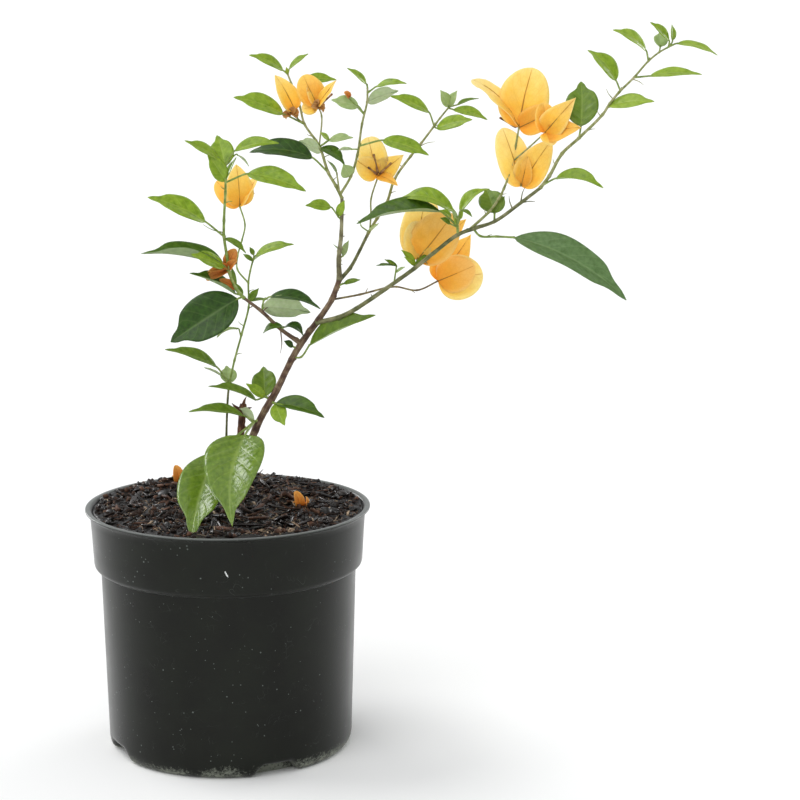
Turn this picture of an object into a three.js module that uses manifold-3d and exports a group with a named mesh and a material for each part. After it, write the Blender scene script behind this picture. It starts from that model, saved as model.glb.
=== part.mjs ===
// A young bougainvillea in a round nursery pot.
// Millimetres, +Z up. The origin is the centre of the pot's flat underside.
// The front of the plant faces -Y, and +X is to the right of someone who looks at it.
import * as THREE from "three";
import { mergeVertices } from "three/addons/utils/BufferGeometryUtils.js";
import Module from "manifold-3d";

const wasm = await Module();
wasm.setup();

// Room left between two pieces that touch.
const GAP = 0.3;

// The pot: a thin-walled moulded pot with a deep collar, a flared rim and four drain notches round its foot.
const POT = {
  height: 164,
  rimRadius: 95,
  rimThickness: 1.6,
  collarTopRadius: 91.8,
  collarFootRadius: 89.8,
  collarFoot: 124.5,
  wallTopRadius: 85.3,
  wallFootRadius: 81.8,
  footRadius: 75,
  footCurve: 3.8,
  collarEase: 2,
  rimDepth: 5,
  rimRound: 0.6,
  wall: 1.8,
  floor: 2.2,
  sides: 44,
};
const NOTCH = { count: 4, turn: -63.5, width: 27, depth: 13, height: 7, ledge: 9, floorRise: 9.5 };
const DRAIN = { count: 6, radius: 5, ring: 44, sides: 10 };

// The compost: the level of its middle and edge, the height of its lumps, and its room in the pot.
const SOIL = { level: 161, edge: 159.5, lump: 1.6, rings: 6, clear: 0.4 };

// The flat seats that are cut in it, and how far below it a stem's axis starts.
const SEAT = { margin: 2.5, height: 20, sides: 14 };
const FOOT = SOIL.level - 3;

// Limbs. A step is [length, clock, lean]: the clock angle is seen from the front, 0 up and 90 to
// the right, and the lean is the angle toward the front. "on" and "at" name the limb that carries
// it and the node where it leaves, counted in steps from that limb's foot.
const LIMBS = {
  trunk: {
    start: [5, 8, FOOT],
    steps: [
      [34.5, 10, 3], [23.5, 19, 4], [15.5, 26, 6], [16, 30, 5], [23, 26, 4],
      [16, 31, 7], [17, 36, 7], [16, 33, 4], [14.5, 21, 4],
    ],
    radius: [2.8, 1.8],
    flare: 2.6,
    bark: "brown",
  },
  old_stump: {
    on: "trunk", at: 0.36,
    steps: [[18, 358, -5], [25, 5, -6], [16, 5, -6]],
    radius: [2.6, 2.5],
    bark: "brown",
  },
  slender_stem: {
    start: [-2.5, 16, FOOT],
    steps: [[25.5, 1, 1], [24.5, 1, 1], [26, 3, 2], [8, 6, 0]],
    radius: [0.9, 0.75],
    flare: 0.5,
    bark: "green",
  },
  left_bough: {
    on: "trunk", at: 5.8,
    steps: [[17.5, 308, 13], [17, 316, 17], [16, 311, 18]],
    radius: [1.45, 1.05],
    bark: "brown",
  },
  centre_bough: {
    on: "trunk", at: 9,
    steps: [[14, 359, 8], [16.5, 6, 11], [20, 2, 9], [4.5, 1, 12]],
    radius: [1.65, 1.1],
    bark: "brown",
  },
  upper_right_bough: {
    on: "trunk", at: 8.95,
    steps: [[11, 43, -22], [14, 30, -21], [12.5, 27, -18]],
    radius: [1.2, 1.05],
    bark: "green",
  },
  right_bough: {
    on: "trunk", at: 6.85,
    steps: [
      [16, 74, 17], [14, 61, 17], [24.5, 54, 17], [24, 53, 12], [17.5, 50, 10],
      [19, 52, 9], [12.5, 68, 9], [12.5, 70, 9], [22, 53, 11], [15, 51, 12],
    ],
    radius: [1.6, 1.1],
    bark: "green",
  },
};

// Masses of foliage. Each is one stem of steps, with side twigs, leaves and bracts on its nodes.
// A leaf or bract is [node, stalk, blade, face, width, bow]: blade is [length, clock, lean], stalk
// is [length, clock], with a lean where it isn't the blade's, face rolls the upper side toward the
// front (0 is edge-on, 90 is full face, below 0 shows the underside), and width and bow are shares
// of the blade's length.
const SPRAYS = {
  foot_spray_front: {
    on: "trunk", at: 2.5,
    steps: [[4.5, 255, 35]],
    radius: [0.9, 0.8],
    leaves: [
      [1, [29.5, 236, 80], [75, 186, 51], 84, 0.535, 0.03],
      [1, [32, 234, 32], [77, 198, 55], 78, 0.43, 0.03],
      [1, [8.5, 300], [36.5, 276, 8], 15, 0.42, 0.07],
      [1, 0, [17, 302, -40], -50, 0.6, 0.03],
    ],
  },
  foot_spray_left: {
    on: "trunk", at: 3.5,
    steps: [[4.5, 300, -15]],
    radius: [0.9, 0.8],
    leaves: [
      [1, [6.5, 251], [33.5, 289, 12], 14, 0.42, 0.06],
      [1, 0, [24.5, 353, -45], 88, 0.72, 0.03],
      [1, 0, [16, 307, 12], 56, 0.5, 0.04],
    ],
  },
  foot_spray_right: {
    on: "trunk", at: 3.45,
    steps: [[4.5, 110, 35]],
    radius: [0.9, 0.8],
    leaves: [
      [1, 0, [34, 105, 6], 34, 0.5, 0.07],
      [1, 0, [18, 152, 38], 82, 0.66, 0.03],
    ],
  },
  slender_spray: {
    on: "slender_stem", at: 4,
    steps: [[18.5, 13, 3], [18, 16, 3], [19, 15, 0], [6.5, 1, 0], [9.5, 359, -6], [8, 9, -7], [7, 15, 0]],
    radius: [0.75, 0.6],
    leaves: [
      [0.1, [15, 326], [37, 292, 15], 22, 0.4, 0.07],
      [0.1, [4.5, 322], [19, 291, -30], -12, 0.4, 0.03],
      [0.1, 0, [15, 345, -45], 70, 0.8, 0],
      [1.9, [6, 344], [16.5, 246, -10], -18, 0.55, 0.13],
      [3.6, 0, [11.5, 37, 10], 60, 0.5, 0.03],
      [3.6, 0, [14, 81, 20], 15, 0.35, 0.04],
      [7, [4, 26], [27.5, 72, 10], 28, 0.4, 0.08],
      [7, [4, 10], [6, 334, 0], 60, 0.6, 0.03],
      [7, 0, [11, 57, -25], -12, 0.45, 0.03],
      [7, 0, [8, 305, -10], 40, 0.5, 0.03],
    ],
    twigs: [
      {
        at: 5,
        steps: [[12.5, 319, -23], [9, 0, -26], [11.5, 15, -21], [10.5, 11, -22], [13.5, 343, -21]],
        radius: [0.6, 0.55],
        bracts: [
          [5, 0, [28, 356, 0], 80, 0.72, 0.05],
          [5, 0, [23.5, 315, -15], 75, 0.7, 0.04],
          [5, 0, [24, 33, -10], 42, 0.56, 0.04],
        ],
      },
    ],
  },
  left_spray: {
    on: "left_bough", at: 3,
    steps: [
      [9.5, 323, 18], [12, 342, 15], [11.5, 353, 10], [12, 353, 5],
      [10.5, 1, 5], [18.5, 4, 6], [7, 2, 0], [9.5, 359, 0],
    ],
    radius: [1.15, 0.7],
    leaves: [
      [0.15, [3.5, 249], [52, 238, 10], 66, 0.62, 0.02],
      [0.3, [4, 288], [34.5, 298, 20], 15, 0.46, 0.04],
      [0.2, 0, [10, 332, -15], 40, 0.5, 0.03],
      [1.5, [9.5, 335], [55, 281, 10], 12, 0.48, 0.07],
      [1.8, [9, 333], [27, 296, 35], 35, 0.5, 0.03],
      [1, 0, [15, 351, 5], 60, 0.25, 0.03],
      [4, [15.5, 311], [40.5, 295, 12], 32, 0.46, 0.07],
      [3.9, 0, [17.5, 122, 15], 30, 0.42, 0.09],
      [6.9, [16, 67], [40.5, 105, 15], 36, 0.46, 0.08],
      [7, 0, [22.5, 330, 20], 62, 0.55, 0.03],
      [7.1, 0, [16.5, 25, -20], 25, 0.5, 0.03],
      [8, [7, 326], [25.5, 300, 20], 30, 0.45, 0.04],
      [8, 0, [23, 343, -30], 82, 0.7, 0.02],
      [8, [12, 32], [29, 80, 5], 38, 0.42, 0.08],
      [8, [11, 43], [12, 136, -20], -20, 0.5, 0.04],
    ],
    bracts: [
      [2.1, 0, [16, 247, 5], 64, 0.42, 0.1],
      [2.3, 0, [12.5, 22, -10], 70, 0.85, 0.12],
      [1, 0, [12.5, 302, 20], 60, 0.55, 0.05],
    ],
  },
  left_inner_spray: {
    on: "left_bough", at: 2,
    steps: [[4, 0, -8], [4, 12, 5]],
    radius: [0.65, 0.6],
    leaves: [
      [1, 0, [32, 99, -10], -62, 0.62, 0.02],
      [2, [5, 60], [34, 103, 5], 24, 0.45, 0.1],
    ],
  },
  left_low_spray: {
    on: "left_bough", at: 1,
    steps: [[3.5, 60, 35]],
    radius: [0.65, 0.6],
    leaves: [
      [1, 0, [14.5, 112, 15], 24, 0.65, 0.3],
      [1, 0, [14.5, 256, 15], 22, 0.6, 0.2],
    ],
  },
  trunk_leaf_left: {
    on: "trunk", at: 5.5,
    steps: [[4, 308, 30]],
    radius: [0.6, 0.55],
    leaves: [[1, 0, [8.5, 308, 30], 45, 0.6, 0.03]],
  },
  trunk_leaf_right: {
    on: "trunk", at: 5.1,
    steps: [[6.5, 82, 31], [11, 34, 16]],
    radius: [0.7, 0.6],
    leaves: [[2, 0, [49, 64, 10], 26, 0.46, 0.03]],
  },
  fork_leaf: {
    on: "trunk", at: 8.65,
    steps: [[5, 62, 15]],
    radius: [0.65, 0.6],
    leaves: [[1, 0, [12, 75, 15], 30, 0.45, 0.03]],
  },
  centre_side_spray: {
    on: "centre_bough", at: 1,
    steps: [[5, 60, -50]],
    radius: [0.6, 0.55],
    leaves: [
      [1, 0, [11, 20, -25], -50, 0.5, 0.03],
      [1, 0, [10, 318, -20], -20, 0.4, 0.03],
    ],
  },
  upper_spray: {
    on: "centre_bough", at: 4,
    steps: [
      [9, 333, -13], [10, 329, -18], [17, 341, -21], [6.5, 329, -27],
      [14.5, 323, -29], [14.5, 343, -34], [17, 338, -28], [6.5, 338, -18],
    ],
    radius: [1.1, 0.6],
    leaves: [
      [2, [14, 314], [41, 275, 0], 36, 0.5, 0.13],
      [3.1, 0, [20.5, 123, 20], 42, 0.5, 0.15],
      [2.9, 0, [19.5, 290, -35], -50, 0.6, 0.03],
      [3.2, [9, 52], [18.5, 82, 30], 36, 0.46, 0.05],
      [3.2, [8, 53], [8, 311, 10], 40, 0.6, 0.03],
      [5, [15.5, 297], [34, 289, 8], 36, 0.5, 0.06],
      [6.5, [9, 31], [23, 86, -15], 40, 0.42, 0.07],
      [8, [4, 313], [25, 295, 12], 34, 0.42, 0.08],
      [8, [4, 14], [16, 52, -10], 30, 0.4, 0.06],
      [8, 0, [5.5, 350, 20], 60, 0.5, 0.03],
    ],
    twigs: [
      {
        at: 0.3,
        steps: [[14.5, 30, 15], [15.5, 17, 19], [22, 9, 21], [15.5, 13, 19], [9.5, 2, 19]],
        radius: [0.9, 0.6],
        leaves: [
          [1, 0, [12.5, 331, 40], 85, 0.8, 0.03],
          [2.2, [3.5, 268], [10.5, 266, -20], -30, 0.5, 0.03],
          [2.3, [16, 75], [31.5, 107, 12], 40, 0.46, 0.06],
          [3.4, [6.5, 327], [18, 284, 10], 52, 0.6, 0.05],
          [4, 0, [23, 72, -25], -50, 0.55, 0.04],
          [4.6, [7.5, 52], [20.5, 83, 20], 30, 0.4, 0.1],
          [5, [2.5, 346], [16, 310, 10], 32, 0.45, 0.08],
        ],
      },
      {
        at: 0.4,
        steps: [[13.5, 352, -10]],
        radius: [0.6, 0.5],
        leaves: [[1, 0, [10, 323, -10], 20, 0.5, 0.03]],
      },
      {
        at: 5,
        steps: [[11.5, 309, 5]],
        radius: [0.55, 0.5],
        buds: [[1, 3.6]],
        bracts: [[0.5, [6, 342], [26, 331, 5], 72, 0.6, 0.05]],
      },
      {
        at: 3.3,
        steps: [[19.5, 5, 4], [7, 340, -5]],
        radius: [0.55, 0.5],
        buds: [[1.9, 3.2]],
        bracts: [
          [2, 0, [22, 334, -10], 80, 0.8, 0.05],
          [2, 0, [21, 36, 10], 38, 0.5, 0.04],
        ],
      },
    ],
  },
  centre_pair: {
    on: "centre_bough", at: 2.45,
    steps: [[4, 320, 25]],
    radius: [0.6, 0.55],
    leaves: [
      [1, [8, 325], [17, 275, 15], 46, 0.55, 0.08],
      [1, 0, [12, 22, 15], 66, 0.5, 0.03],
    ],
  },
  upper_right_spray: {
    on: "upper_right_bough", at: 3,
    steps: [
      [12, 32, -20], [12, 33, -19], [17, 19, -17], [19, 36, -18],
      [11.5, 40, -20], [14.5, 38, -16], [7, 38, -25], [10, 40, -18],
    ],
    radius: [1.1, 0.6],
    leaves: [
      [0.1, [6, 307], [5.5, 331, 10], -10, 0.5, 0.03],
      [0.1, 0, [9.5, 46, 20], -30, 0.5, 0.03],
      [6, [10, 340], [28.5, 293, 10], 34, 0.42, 0.07],
      [6, [2, 134], [26, 75, 20], 44, 0.45, 0.04],
      [8, 0, [13.5, 356, 20], 66, 1.0, 0.03],
      [8, [6, 77], [16, 75, -20], 24, 0.35, 0.07],
      [7.9, [3.5, 106], [24, 106, 10], 34, 0.45, 0.1],
    ],
    twigs: [
      {
        at: 0.2,
        steps: [[13, 4, 27], [11.5, 1, 26], [17, 17, 17]],
        radius: [0.6, 0.55],
        bracts: [
          [3, 0, [26, 345, -12], 80, 0.75, 0.05],
          [3, 0, [21.5, 51, -5], 72, 0.75, 0.05],
          [3, 0, [17.5, 307, 15], 76, 0.9, 0.05],
          [3, 0, [18, 113, 40], 50, 0.5, 0.06],
        ],
      },
    ],
  },
  low_flower: {
    on: "trunk", at: 8,
    steps: [[20, 82, -18], [16.5, 77, -11], [8, 85, -14], [14.5, 101, -12], [15, 67, -8]],
    radius: [0.7, 0.55],
    bracts: [
      [5, 0, [27, 65, 12], 82, 0.92, 0.04],
      [5, 0, [30.5, 82, -8], 80, 1.0, 0.04],
      [5, 0, [42, 38, -30], 72, 0.55, 0.05],
    ],
  },
  right_inner_spray: {
    on: "right_bough", at: 4,
    steps: [[9.5, 24, -57]],
    radius: [0.6, 0.55],
    leaves: [
      [0.3, 0, [14, 318, -15], 40, 0.4, 0.07],
      [0.3, 0, [10, 312, 20], 40, 0.4, 0.04],
      [0.3, 0, [16, 56, -25], 45, 0.35, 0.03],
    ],
    bracts: [
      [1, 0, [37.5, 38, -6], 82, 0.82, 0.04],
      [1, 0, [45, 53, -26], 76, 0.5, 0.04],
      [1, 0, [44, 9, -22], 76, 0.6, 0.04],
    ],
  },
  right_low_leaf: {
    on: "right_bough", at: 3.3,
    steps: [[11.5, 8, 5]],
    radius: [0.6, 0.5],
    leaves: [[1, 0, [15, 276, 30], 6, 0.4, 0.02]],
  },
  right_mid_spray: {
    on: "right_bough", at: 6,
    steps: [[6, 355, 5]],
    radius: [0.9, 0.8],
    leaves: [
      [0.9, [15, 312], [54, 262, 5], 16, 0.42, 0.06],
      [1, [9.5, 345], [38, 279, -12], 34, 0.42, 0.2],
      [1, [8.5, 12], [24.5, 52, -10], 32, 0.45, 0.2],
      [0.8, [6, 300], [9, 304, 30], 40, 0.5, 0.04],
      [1, [13.5, 10], [10, 118, 35], 30, 0.45, 0.13],
      [1, 0, [13, 345, 15], 55, 0.3, 0.03],
    ],
  },
  right_mid_leaf: {
    on: "right_bough", at: 8,
    steps: [[9, 5, -58]],
    radius: [0.75, 0.7],
    leaves: [
      [1, 0, [20.5, 340, -42], 86, 0.85, 0.02],
      [1, 0, [13, 32, -20], 70, 0.6, 0.03],
    ],
  },
  long_leaf: {
    on: "right_bough", at: 6.85,
    steps: [[6.5, 135, 17], [11, 90, 16], [11.5, 91, 16]],
    radius: [0.75, 0.7],
    leaves: [[3, 0, [82, 118, 15], 40, 0.34, 0.08]],
  },
  flower_shoot: {
    on: "right_bough", at: 6.6,
    steps: [[18, 48, -8], [10, 38, -18], [7.5, 28, -16], [19.5, 20, -18], [10, 9, -12], [11.5, 10, -10]],
    radius: [0.95, 0.6],
    bracts: [
      [6, 0, [39.5, 13, -10], 82, 0.85, 0.04],
      [6, 0, [44, 315, -15], 24, 0.46, 0.12],
      [6, 0, [25, 62, 10], 70, 0.75, 0.05],
    ],
    twigs: [
      {
        at: 4,
        steps: [[17, 45, 36], [16.5, 43, 37]],
        radius: [0.55, 0.5],
        bracts: [
          [2, 0, [30, 40, 12], 78, 0.64, 0.05],
          [2, 0, [24, 80, 20], 72, 0.72, 0.05],
        ],
      },
      {
        at: 4,
        steps: [[8.5, 152, 7], [9, 174, 13]],
        radius: [0.55, 0.5],
        bracts: [
          [2, 0, [39.5, 342, -12], 76, 0.56, 0.04],
          [2, 0, [36, 34, -10], 78, 0.62, 0.04],
          [2, 0, [20, 12, -4], 76, 0.6, 0.05],
        ],
      },
    ],
  },
  tip_spray: {
    on: "right_bough", at: 10,
    steps: [
      [9.5, 36, 6], [16.5, 28, 11], [14.5, 46, 8], [21, 44, 8], [8, 32, 7],
      [9, 38, 6], [13, 44, 9], [13.5, 40, 9], [8.5, 50, 7], [8, 60, 7],
    ],
    radius: [1.15, 0.5],
    leaves: [
      [0.2, [10, 60], [31, 100, 15], 30, 0.48, 0.12],
      [3, [8.5, 12], [32, 2, -32], 84, 0.7, 0.02],
      [4.8, 0, [29.5, 83, 20], 38, 0.42, 0.06],
      [6.1, [7, 338], [26.5, 317, -15], 44, 0.6, 0.1],
      [7, [10, 84], [32, 88, 5], 34, 0.3, 0.05],
      [8, [7, 346], [26, 301, 15], 36, 0.44, 0.1],
      [9, [4, 15], [10.5, 359, -35], 70, 0.95, 0.03],
      [9.6, [7.5, 65], [26, 106, 5], 28, 0.36, 0.09],
      [9.8, [4, 7], [17, 313, 10], 34, 0.5, 0.07],
      [10, [3.5, 21], [10, 358, -10], 44, 0.6, 0.05],
    ],
    twigs: [{ at: 4.6, steps: [[17.5, 72, 5]], radius: [0.5, 0.45] }],
  },
};

const COLOURS = {
  pot: 0x26292a,
  soil: 0x2f2621,
  brown: 0x6d4a3c,
  green: 0x5f6a3e,
  leaf: 0x5c8a34,
  flower: 0xf2b140,
};

// How a leaf and a bract are cut: where their sections lie, how their width swells and fades,
// how far the two halves fold up, and how thick the midrib is for its length.
const LEAF = { sections: [0, 0.13, 0.4, 0.74, 1], swell: 0.72, fade: 0.95, fold: 18, thick: 0.02 };
const BRACT = { sections: [0, 0.09, 0.36, 0.7, 0.92, 1], swell: 0.5, fade: 0.5, fold: 10, thick: 0.02 };
const LEAST_THICK = 0.8;
const LEAST_HALF_WIDTH = 0.25;
const EDGE_SHARE = 0.35;
const FOLD_SPREAD = 8;

// A leaf's stalk, and how far its end is sunk into the leaf.
const STALK = { radius: 0.5, sides: 3, sink: 1.5 };

// Sides of a limb, of a shoot and of a twig, and the limb's rings for each step.
const SIDES = { limb: 7, shoot: 5, twig: 4 };
const LIMB_RINGS = 2;

// A limb's flat facets lie nearer to its axis than its edges, so its space grows a little more.
const FACET_ALLOWANCE = 1.12;

// A root flare dies away within this height.
const FLARE_HEIGHT = 7;

// The seed of the small differences between leaves.
const SEED = 52817;

let seed = SEED;
function chance() {
  seed = (seed * 16807) % 2147483647;
  return seed / 2147483647;
}

const radians = THREE.MathUtils.degToRad;

// The unit vector of a clock angle and a lean toward the front.
function heading(clock, lean) {
  const c = radians(clock);
  const l = radians(lean);
  return new THREE.Vector3(Math.sin(c) * Math.cos(l), -Math.sin(l), Math.cos(c) * Math.cos(l));
}

// A smooth curve through the nodes that a list of steps walks to.
function walk(start, steps) {
  const nodes = [start.clone()];
  for (const [length, clock, lean] of steps) {
    nodes.push(nodes[nodes.length - 1].clone().addScaledVector(heading(clock, lean), length));
  }
  return new THREE.CatmullRomCurve3(nodes, false, "centripetal");
}

function nodeOf(curve, at) {
  return curve.getPoint(Math.min(1, at / (curve.points.length - 1)));
}

// Bends a cylinder of unit height along frames, one for each ring from its foot to its top. A frame
// has the ring's centre, the direction across it, the direction out of it, and their two sizes. A
// frame with a lift raises both of its edges, which folds the section along its middle.
function bend(cylinder, frames) {
  const place = cylinder.getAttribute("position");
  const point = new THREE.Vector3();
  for (let i = 0; i < place.count; i++) {
    point.fromBufferAttribute(place, i);
    const frame = frames[Math.round((point.y + 0.5) * (frames.length - 1))];
    const across = point.x * frame.acrossSize;
    const out = point.z * frame.outSize + Math.abs(point.x) * frame.lift;
    point.copy(frame.centre).addScaledVector(frame.across, across).addScaledVector(frame.out, out);
    place.setXYZ(i, point.x, point.y, point.z);
  }
  return cylinder;
}

// A tapering round limb along a curve. extra swells it and lengthens both ends.
function limbGeometry(curve, { radius, flare = 0, sides, rings }, extra = 0) {
  const length = curve.getLength();
  const frames = [];
  let across = new THREE.Vector3(0, -1, 0);
  for (let i = 0; i <= rings; i++) {
    const t = i / rings;
    const along = curve.getTangent(t);
    across = across.clone().addScaledVector(along, -across.dot(along)).normalize();
    const out = across.clone().cross(along);
    const taper = radius[0] + (radius[1] - radius[0]) * t;
    const size = taper + flare * Math.exp((-t * length) / FLARE_HEIGHT) + extra;
    const centre = curve.getPoint(t);
    if (i === 0) {
      centre.addScaledVector(along, -extra);
    }
    if (i === rings) {
      centre.addScaledVector(along, extra);
    }
    frames.push({ centre, across, out, acrossSize: size, outSize: size, lift: 0 });
  }
  return bend(new THREE.CylinderGeometry(1, 1, 1, sides, rings), frames);
}

// The direction that a blade's upper side faces: the side nearer to the sky, rolled to the front.
function upperSide(along, clock, face) {
  const front = new THREE.Vector3(0, -1, 0);
  front.addScaledVector(along, -front.dot(along)).normalize();
  const sky = heading(clock >= 180 ? clock + 90 : clock - 90, 0);
  sky.addScaledVector(along, -sky.dot(along)).addScaledVector(front, -sky.dot(front)).normalize();
  const roll = radians(face);
  return sky.multiplyScalar(Math.cos(roll)).addScaledVector(front, Math.sin(roll));
}

// A leaf or bract: a thin blade of diamond section whose midrib bows and whose halves fold up.
function bladeGeometry(base, [length, clock, lean], face, width, bow, cut) {
  const along = heading(clock, lean);
  const normal = upperSide(along, clock, face);
  const across = along.clone().cross(normal);
  const fold = radians(cut.fold + FOLD_SPREAD * (2 * chance() - 1));
  const thick = Math.max(LEAST_THICK, length * cut.thick) / 2;
  const peak = cut.swell / (cut.swell + cut.fade);
  const widest = peak ** cut.swell * (1 - peak) ** cut.fade;
  const frames = cut.sections.map((t) => {
    const swell = (t ** cut.swell * (1 - t) ** cut.fade) / widest;
    const half = Math.max(LEAST_HALF_WIDTH, (swell * width * length) / 2);
    const rise = 4 * bow * length * t * (1 - t);
    const slope = 4 * bow * (1 - 2 * t);
    const centre = base.clone().addScaledVector(along, t * length).addScaledVector(normal, rise);
    const tangent = along.clone().addScaledVector(normal, slope).normalize();
    const full = Math.sqrt(Math.max(0, 4 * t * (1 - t)));
    return {
      centre,
      across,
      out: across.clone().cross(tangent),
      acrossSize: half * Math.cos(fold),
      outSize: thick * (EDGE_SHARE + (1 - EDGE_SHARE) * full),
      lift: half * Math.sin(fold),
    };
  });
  return bend(new THREE.CylinderGeometry(1, 1, 1, 4, frames.length - 1), frames);
}

// A closed geometry as a solid that can be joined and cut, and back again.
function solid(geometry) {
  const bare = geometry.clone();
  bare.deleteAttribute("normal");
  bare.deleteAttribute("uv");
  const merged = mergeVertices(bare, 1e-4);
  return new wasm.Manifold(
    new wasm.Mesh({
      numProp: 3,
      vertProperties: merged.getAttribute("position").array,
      triVerts: new Uint32Array(merged.index.array),
    }),
  );
}

function geometryOf(body) {
  const mesh = body.getMesh();
  const geometry = new THREE.BufferGeometry();
  geometry.setAttribute("position", new THREE.BufferAttribute(mesh.vertProperties, 3));
  geometry.setIndex(new THREE.BufferAttribute(mesh.triVerts, 1));
  geometry.computeVertexNormals();
  return geometry;
}

function largest(body) {
  return body.decompose().reduce((a, b) => (b.volume() > a.volume() ? b : a));
}

function joined(solids) {
  return solids.reduce((a, b) => a.add(b));
}

// A lathe about Z of [radius, height] points.
function latheUp(profile, sides) {
  const points = profile.map(([radius, height]) => new THREE.Vector2(radius, height));
  return new THREE.LatheGeometry(points, sides).rotateX(Math.PI / 2);
}

// The outer radius of the pot's wall below the collar, which widens toward the top.
function wallRadius(z) {
  return POT.wallFootRadius + ((POT.wallTopRadius - POT.wallFootRadius) * z) / POT.collarFoot;
}

// The pot: a lathe profile from the middle of the underside, round the rim, to the middle of the
// floor, less its drain notches and drain holes. Its floor steps up into a ring over the notches.
function potSolid() {
  const p = POT;
  const profile = [
    [0, 0],
    [p.footRadius, 0],
    [p.footRadius + p.footCurve, 1.1],
    [p.wallFootRadius - 1, p.footCurve],
    [wallRadius(2 * p.footCurve), 2 * p.footCurve],
    [wallRadius(p.collarFoot - 1), p.collarFoot - 1],
    [p.collarFootRadius - p.collarEase, p.collarFoot - 0.6],
    [p.collarFootRadius, p.collarFoot + p.collarEase],
    [p.collarTopRadius, p.height - p.rimDepth],
    [p.rimRadius - p.rimRound, p.height - p.rimThickness],
    [p.rimRadius, p.height - p.rimThickness / 2],
    [p.rimRadius - p.rimRound, p.height],
    [p.collarTopRadius - p.rimRound, p.height - p.rimRound],
    [p.collarTopRadius - p.wall, p.height - p.rimDepth],
    [p.collarFootRadius - p.wall, p.collarFoot + p.collarEase],
    [wallRadius(p.collarFoot) - p.wall, p.collarFoot - p.collarEase],
    [wallRadius(NOTCH.floorRise) - p.wall, NOTCH.floorRise],
    [p.footRadius - NOTCH.ledge, NOTCH.floorRise],
    [p.footRadius - NOTCH.depth - p.wall, p.floor],
    [0, p.floor],
  ];
  let body = solid(latheUp(profile, p.sides));
  for (let i = 0; i < NOTCH.count; i++) {
    const notch = new THREE.BoxGeometry(NOTCH.depth * 2, NOTCH.width, NOTCH.height * 2);
    notch.translate(p.wallFootRadius + 2, 0, 0);
    notch.rotateZ(radians(NOTCH.turn + (360 * i) / NOTCH.count));
    body = body.subtract(solid(notch));
  }
  for (let i = 0; i < DRAIN.count; i++) {
    const hole = new THREE.CylinderGeometry(DRAIN.radius, DRAIN.radius, p.floor * 4, DRAIN.sides);
    hole.rotateX(Math.PI / 2);
    hole.translate(DRAIN.ring, 0, 0);
    hole.rotateZ(radians((360 * (i + 0.5)) / DRAIN.count));
    body = body.subtract(solid(hole));
  }
  return body;
}

// The height of the compost's lumps: three crossing waves.
function lump(x, y) {
  const hummocks = Math.sin(x / 9.5 + 1.3) * Math.cos(y / 11 + 0.4);
  const ridges = 0.6 * Math.sin((x + y) / 6.3);
  const swells = 0.5 * Math.cos((x - 2 * y) / 14);
  return (SOIL.lump * (hummocks + ridges + swells)) / 2;
}

// The compost fills the pot to just under its rim, and a flat seat is cut in it for each stem.
function soilSolid(seats) {
  const p = POT;
  const inset = p.wall + SOIL.clear;
  const top = p.collarTopRadius - inset - SOIL.clear;
  const profile = [
    [0, p.floor + SOIL.clear],
    [p.footRadius - NOTCH.depth - p.wall - SOIL.clear, p.floor + SOIL.clear],
    [p.footRadius - NOTCH.ledge - SOIL.clear, NOTCH.floorRise + SOIL.clear],
    [wallRadius(NOTCH.floorRise) - inset, NOTCH.floorRise + SOIL.clear],
    [wallRadius(p.collarFoot) - inset, p.collarFoot - p.collarEase],
    [p.collarFootRadius - inset, p.collarFoot + p.collarEase + SOIL.clear],
    [top, SOIL.edge],
  ];
  for (let i = SOIL.rings - 1; i >= 0; i--) {
    const share = i / SOIL.rings;
    profile.push([top * share, SOIL.edge + (SOIL.level - SOIL.edge) * (1 - share * share)]);
  }
  const heap = latheUp(profile, p.sides);
  const place = heap.getAttribute("position");
  for (let i = 0; i < place.count; i++) {
    const radius = Math.hypot(place.getX(i), place.getY(i));
    if (place.getZ(i) > p.collarFoot + p.rimDepth && radius < top - 1) {
      place.setZ(i, place.getZ(i) + lump(place.getX(i), place.getY(i)));
    }
  }
  let body = solid(heap);
  for (const seat of seats) {
    const hollow = new THREE.CylinderGeometry(seat.radius, seat.radius, SEAT.height, SEAT.sides);
    hollow.rotateX(Math.PI / 2);
    hollow.translate(seat.x, seat.y, SOIL.level + SEAT.height / 2);
    body = body.subtract(solid(hollow));
  }
  return body;
}

// Everything below the plane on which the stems stand.
const ground = new THREE.BoxGeometry(2 * POT.rimRadius, 2 * POT.rimRadius, POT.height);
ground.translate(0, 0, SOIL.level + GAP - POT.height / 2);
const groundSpace = solid(ground);

// Each limb, grown from the limb that carries it and cut back 0.3 mm clear of every earlier one.
// A limb that stands in the compost is cut flat at the ground.
const limbs = {};
for (const [name, plan] of Object.entries(LIMBS)) {
  const start = plan.on ? nodeOf(limbs[plan.on].curve, plan.at) : new THREE.Vector3(...plan.start);
  const curve = walk(start, plan.steps);
  const shape = { ...plan, sides: SIDES.limb, rings: plan.steps.length * LIMB_RINGS };
  const space = solid(limbGeometry(curve, shape, GAP * FACET_ALLOWANCE));
  let body = solid(limbGeometry(curve, shape)).subtract(groundSpace);
  for (const other of Object.values(limbs)) {
    body = body.subtract(other.space);
  }
  limbs[name] = { curve, space, body: largest(body) };
}
const limbSpace = joined(Object.values(limbs).map((limb) => limb.space));

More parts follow.
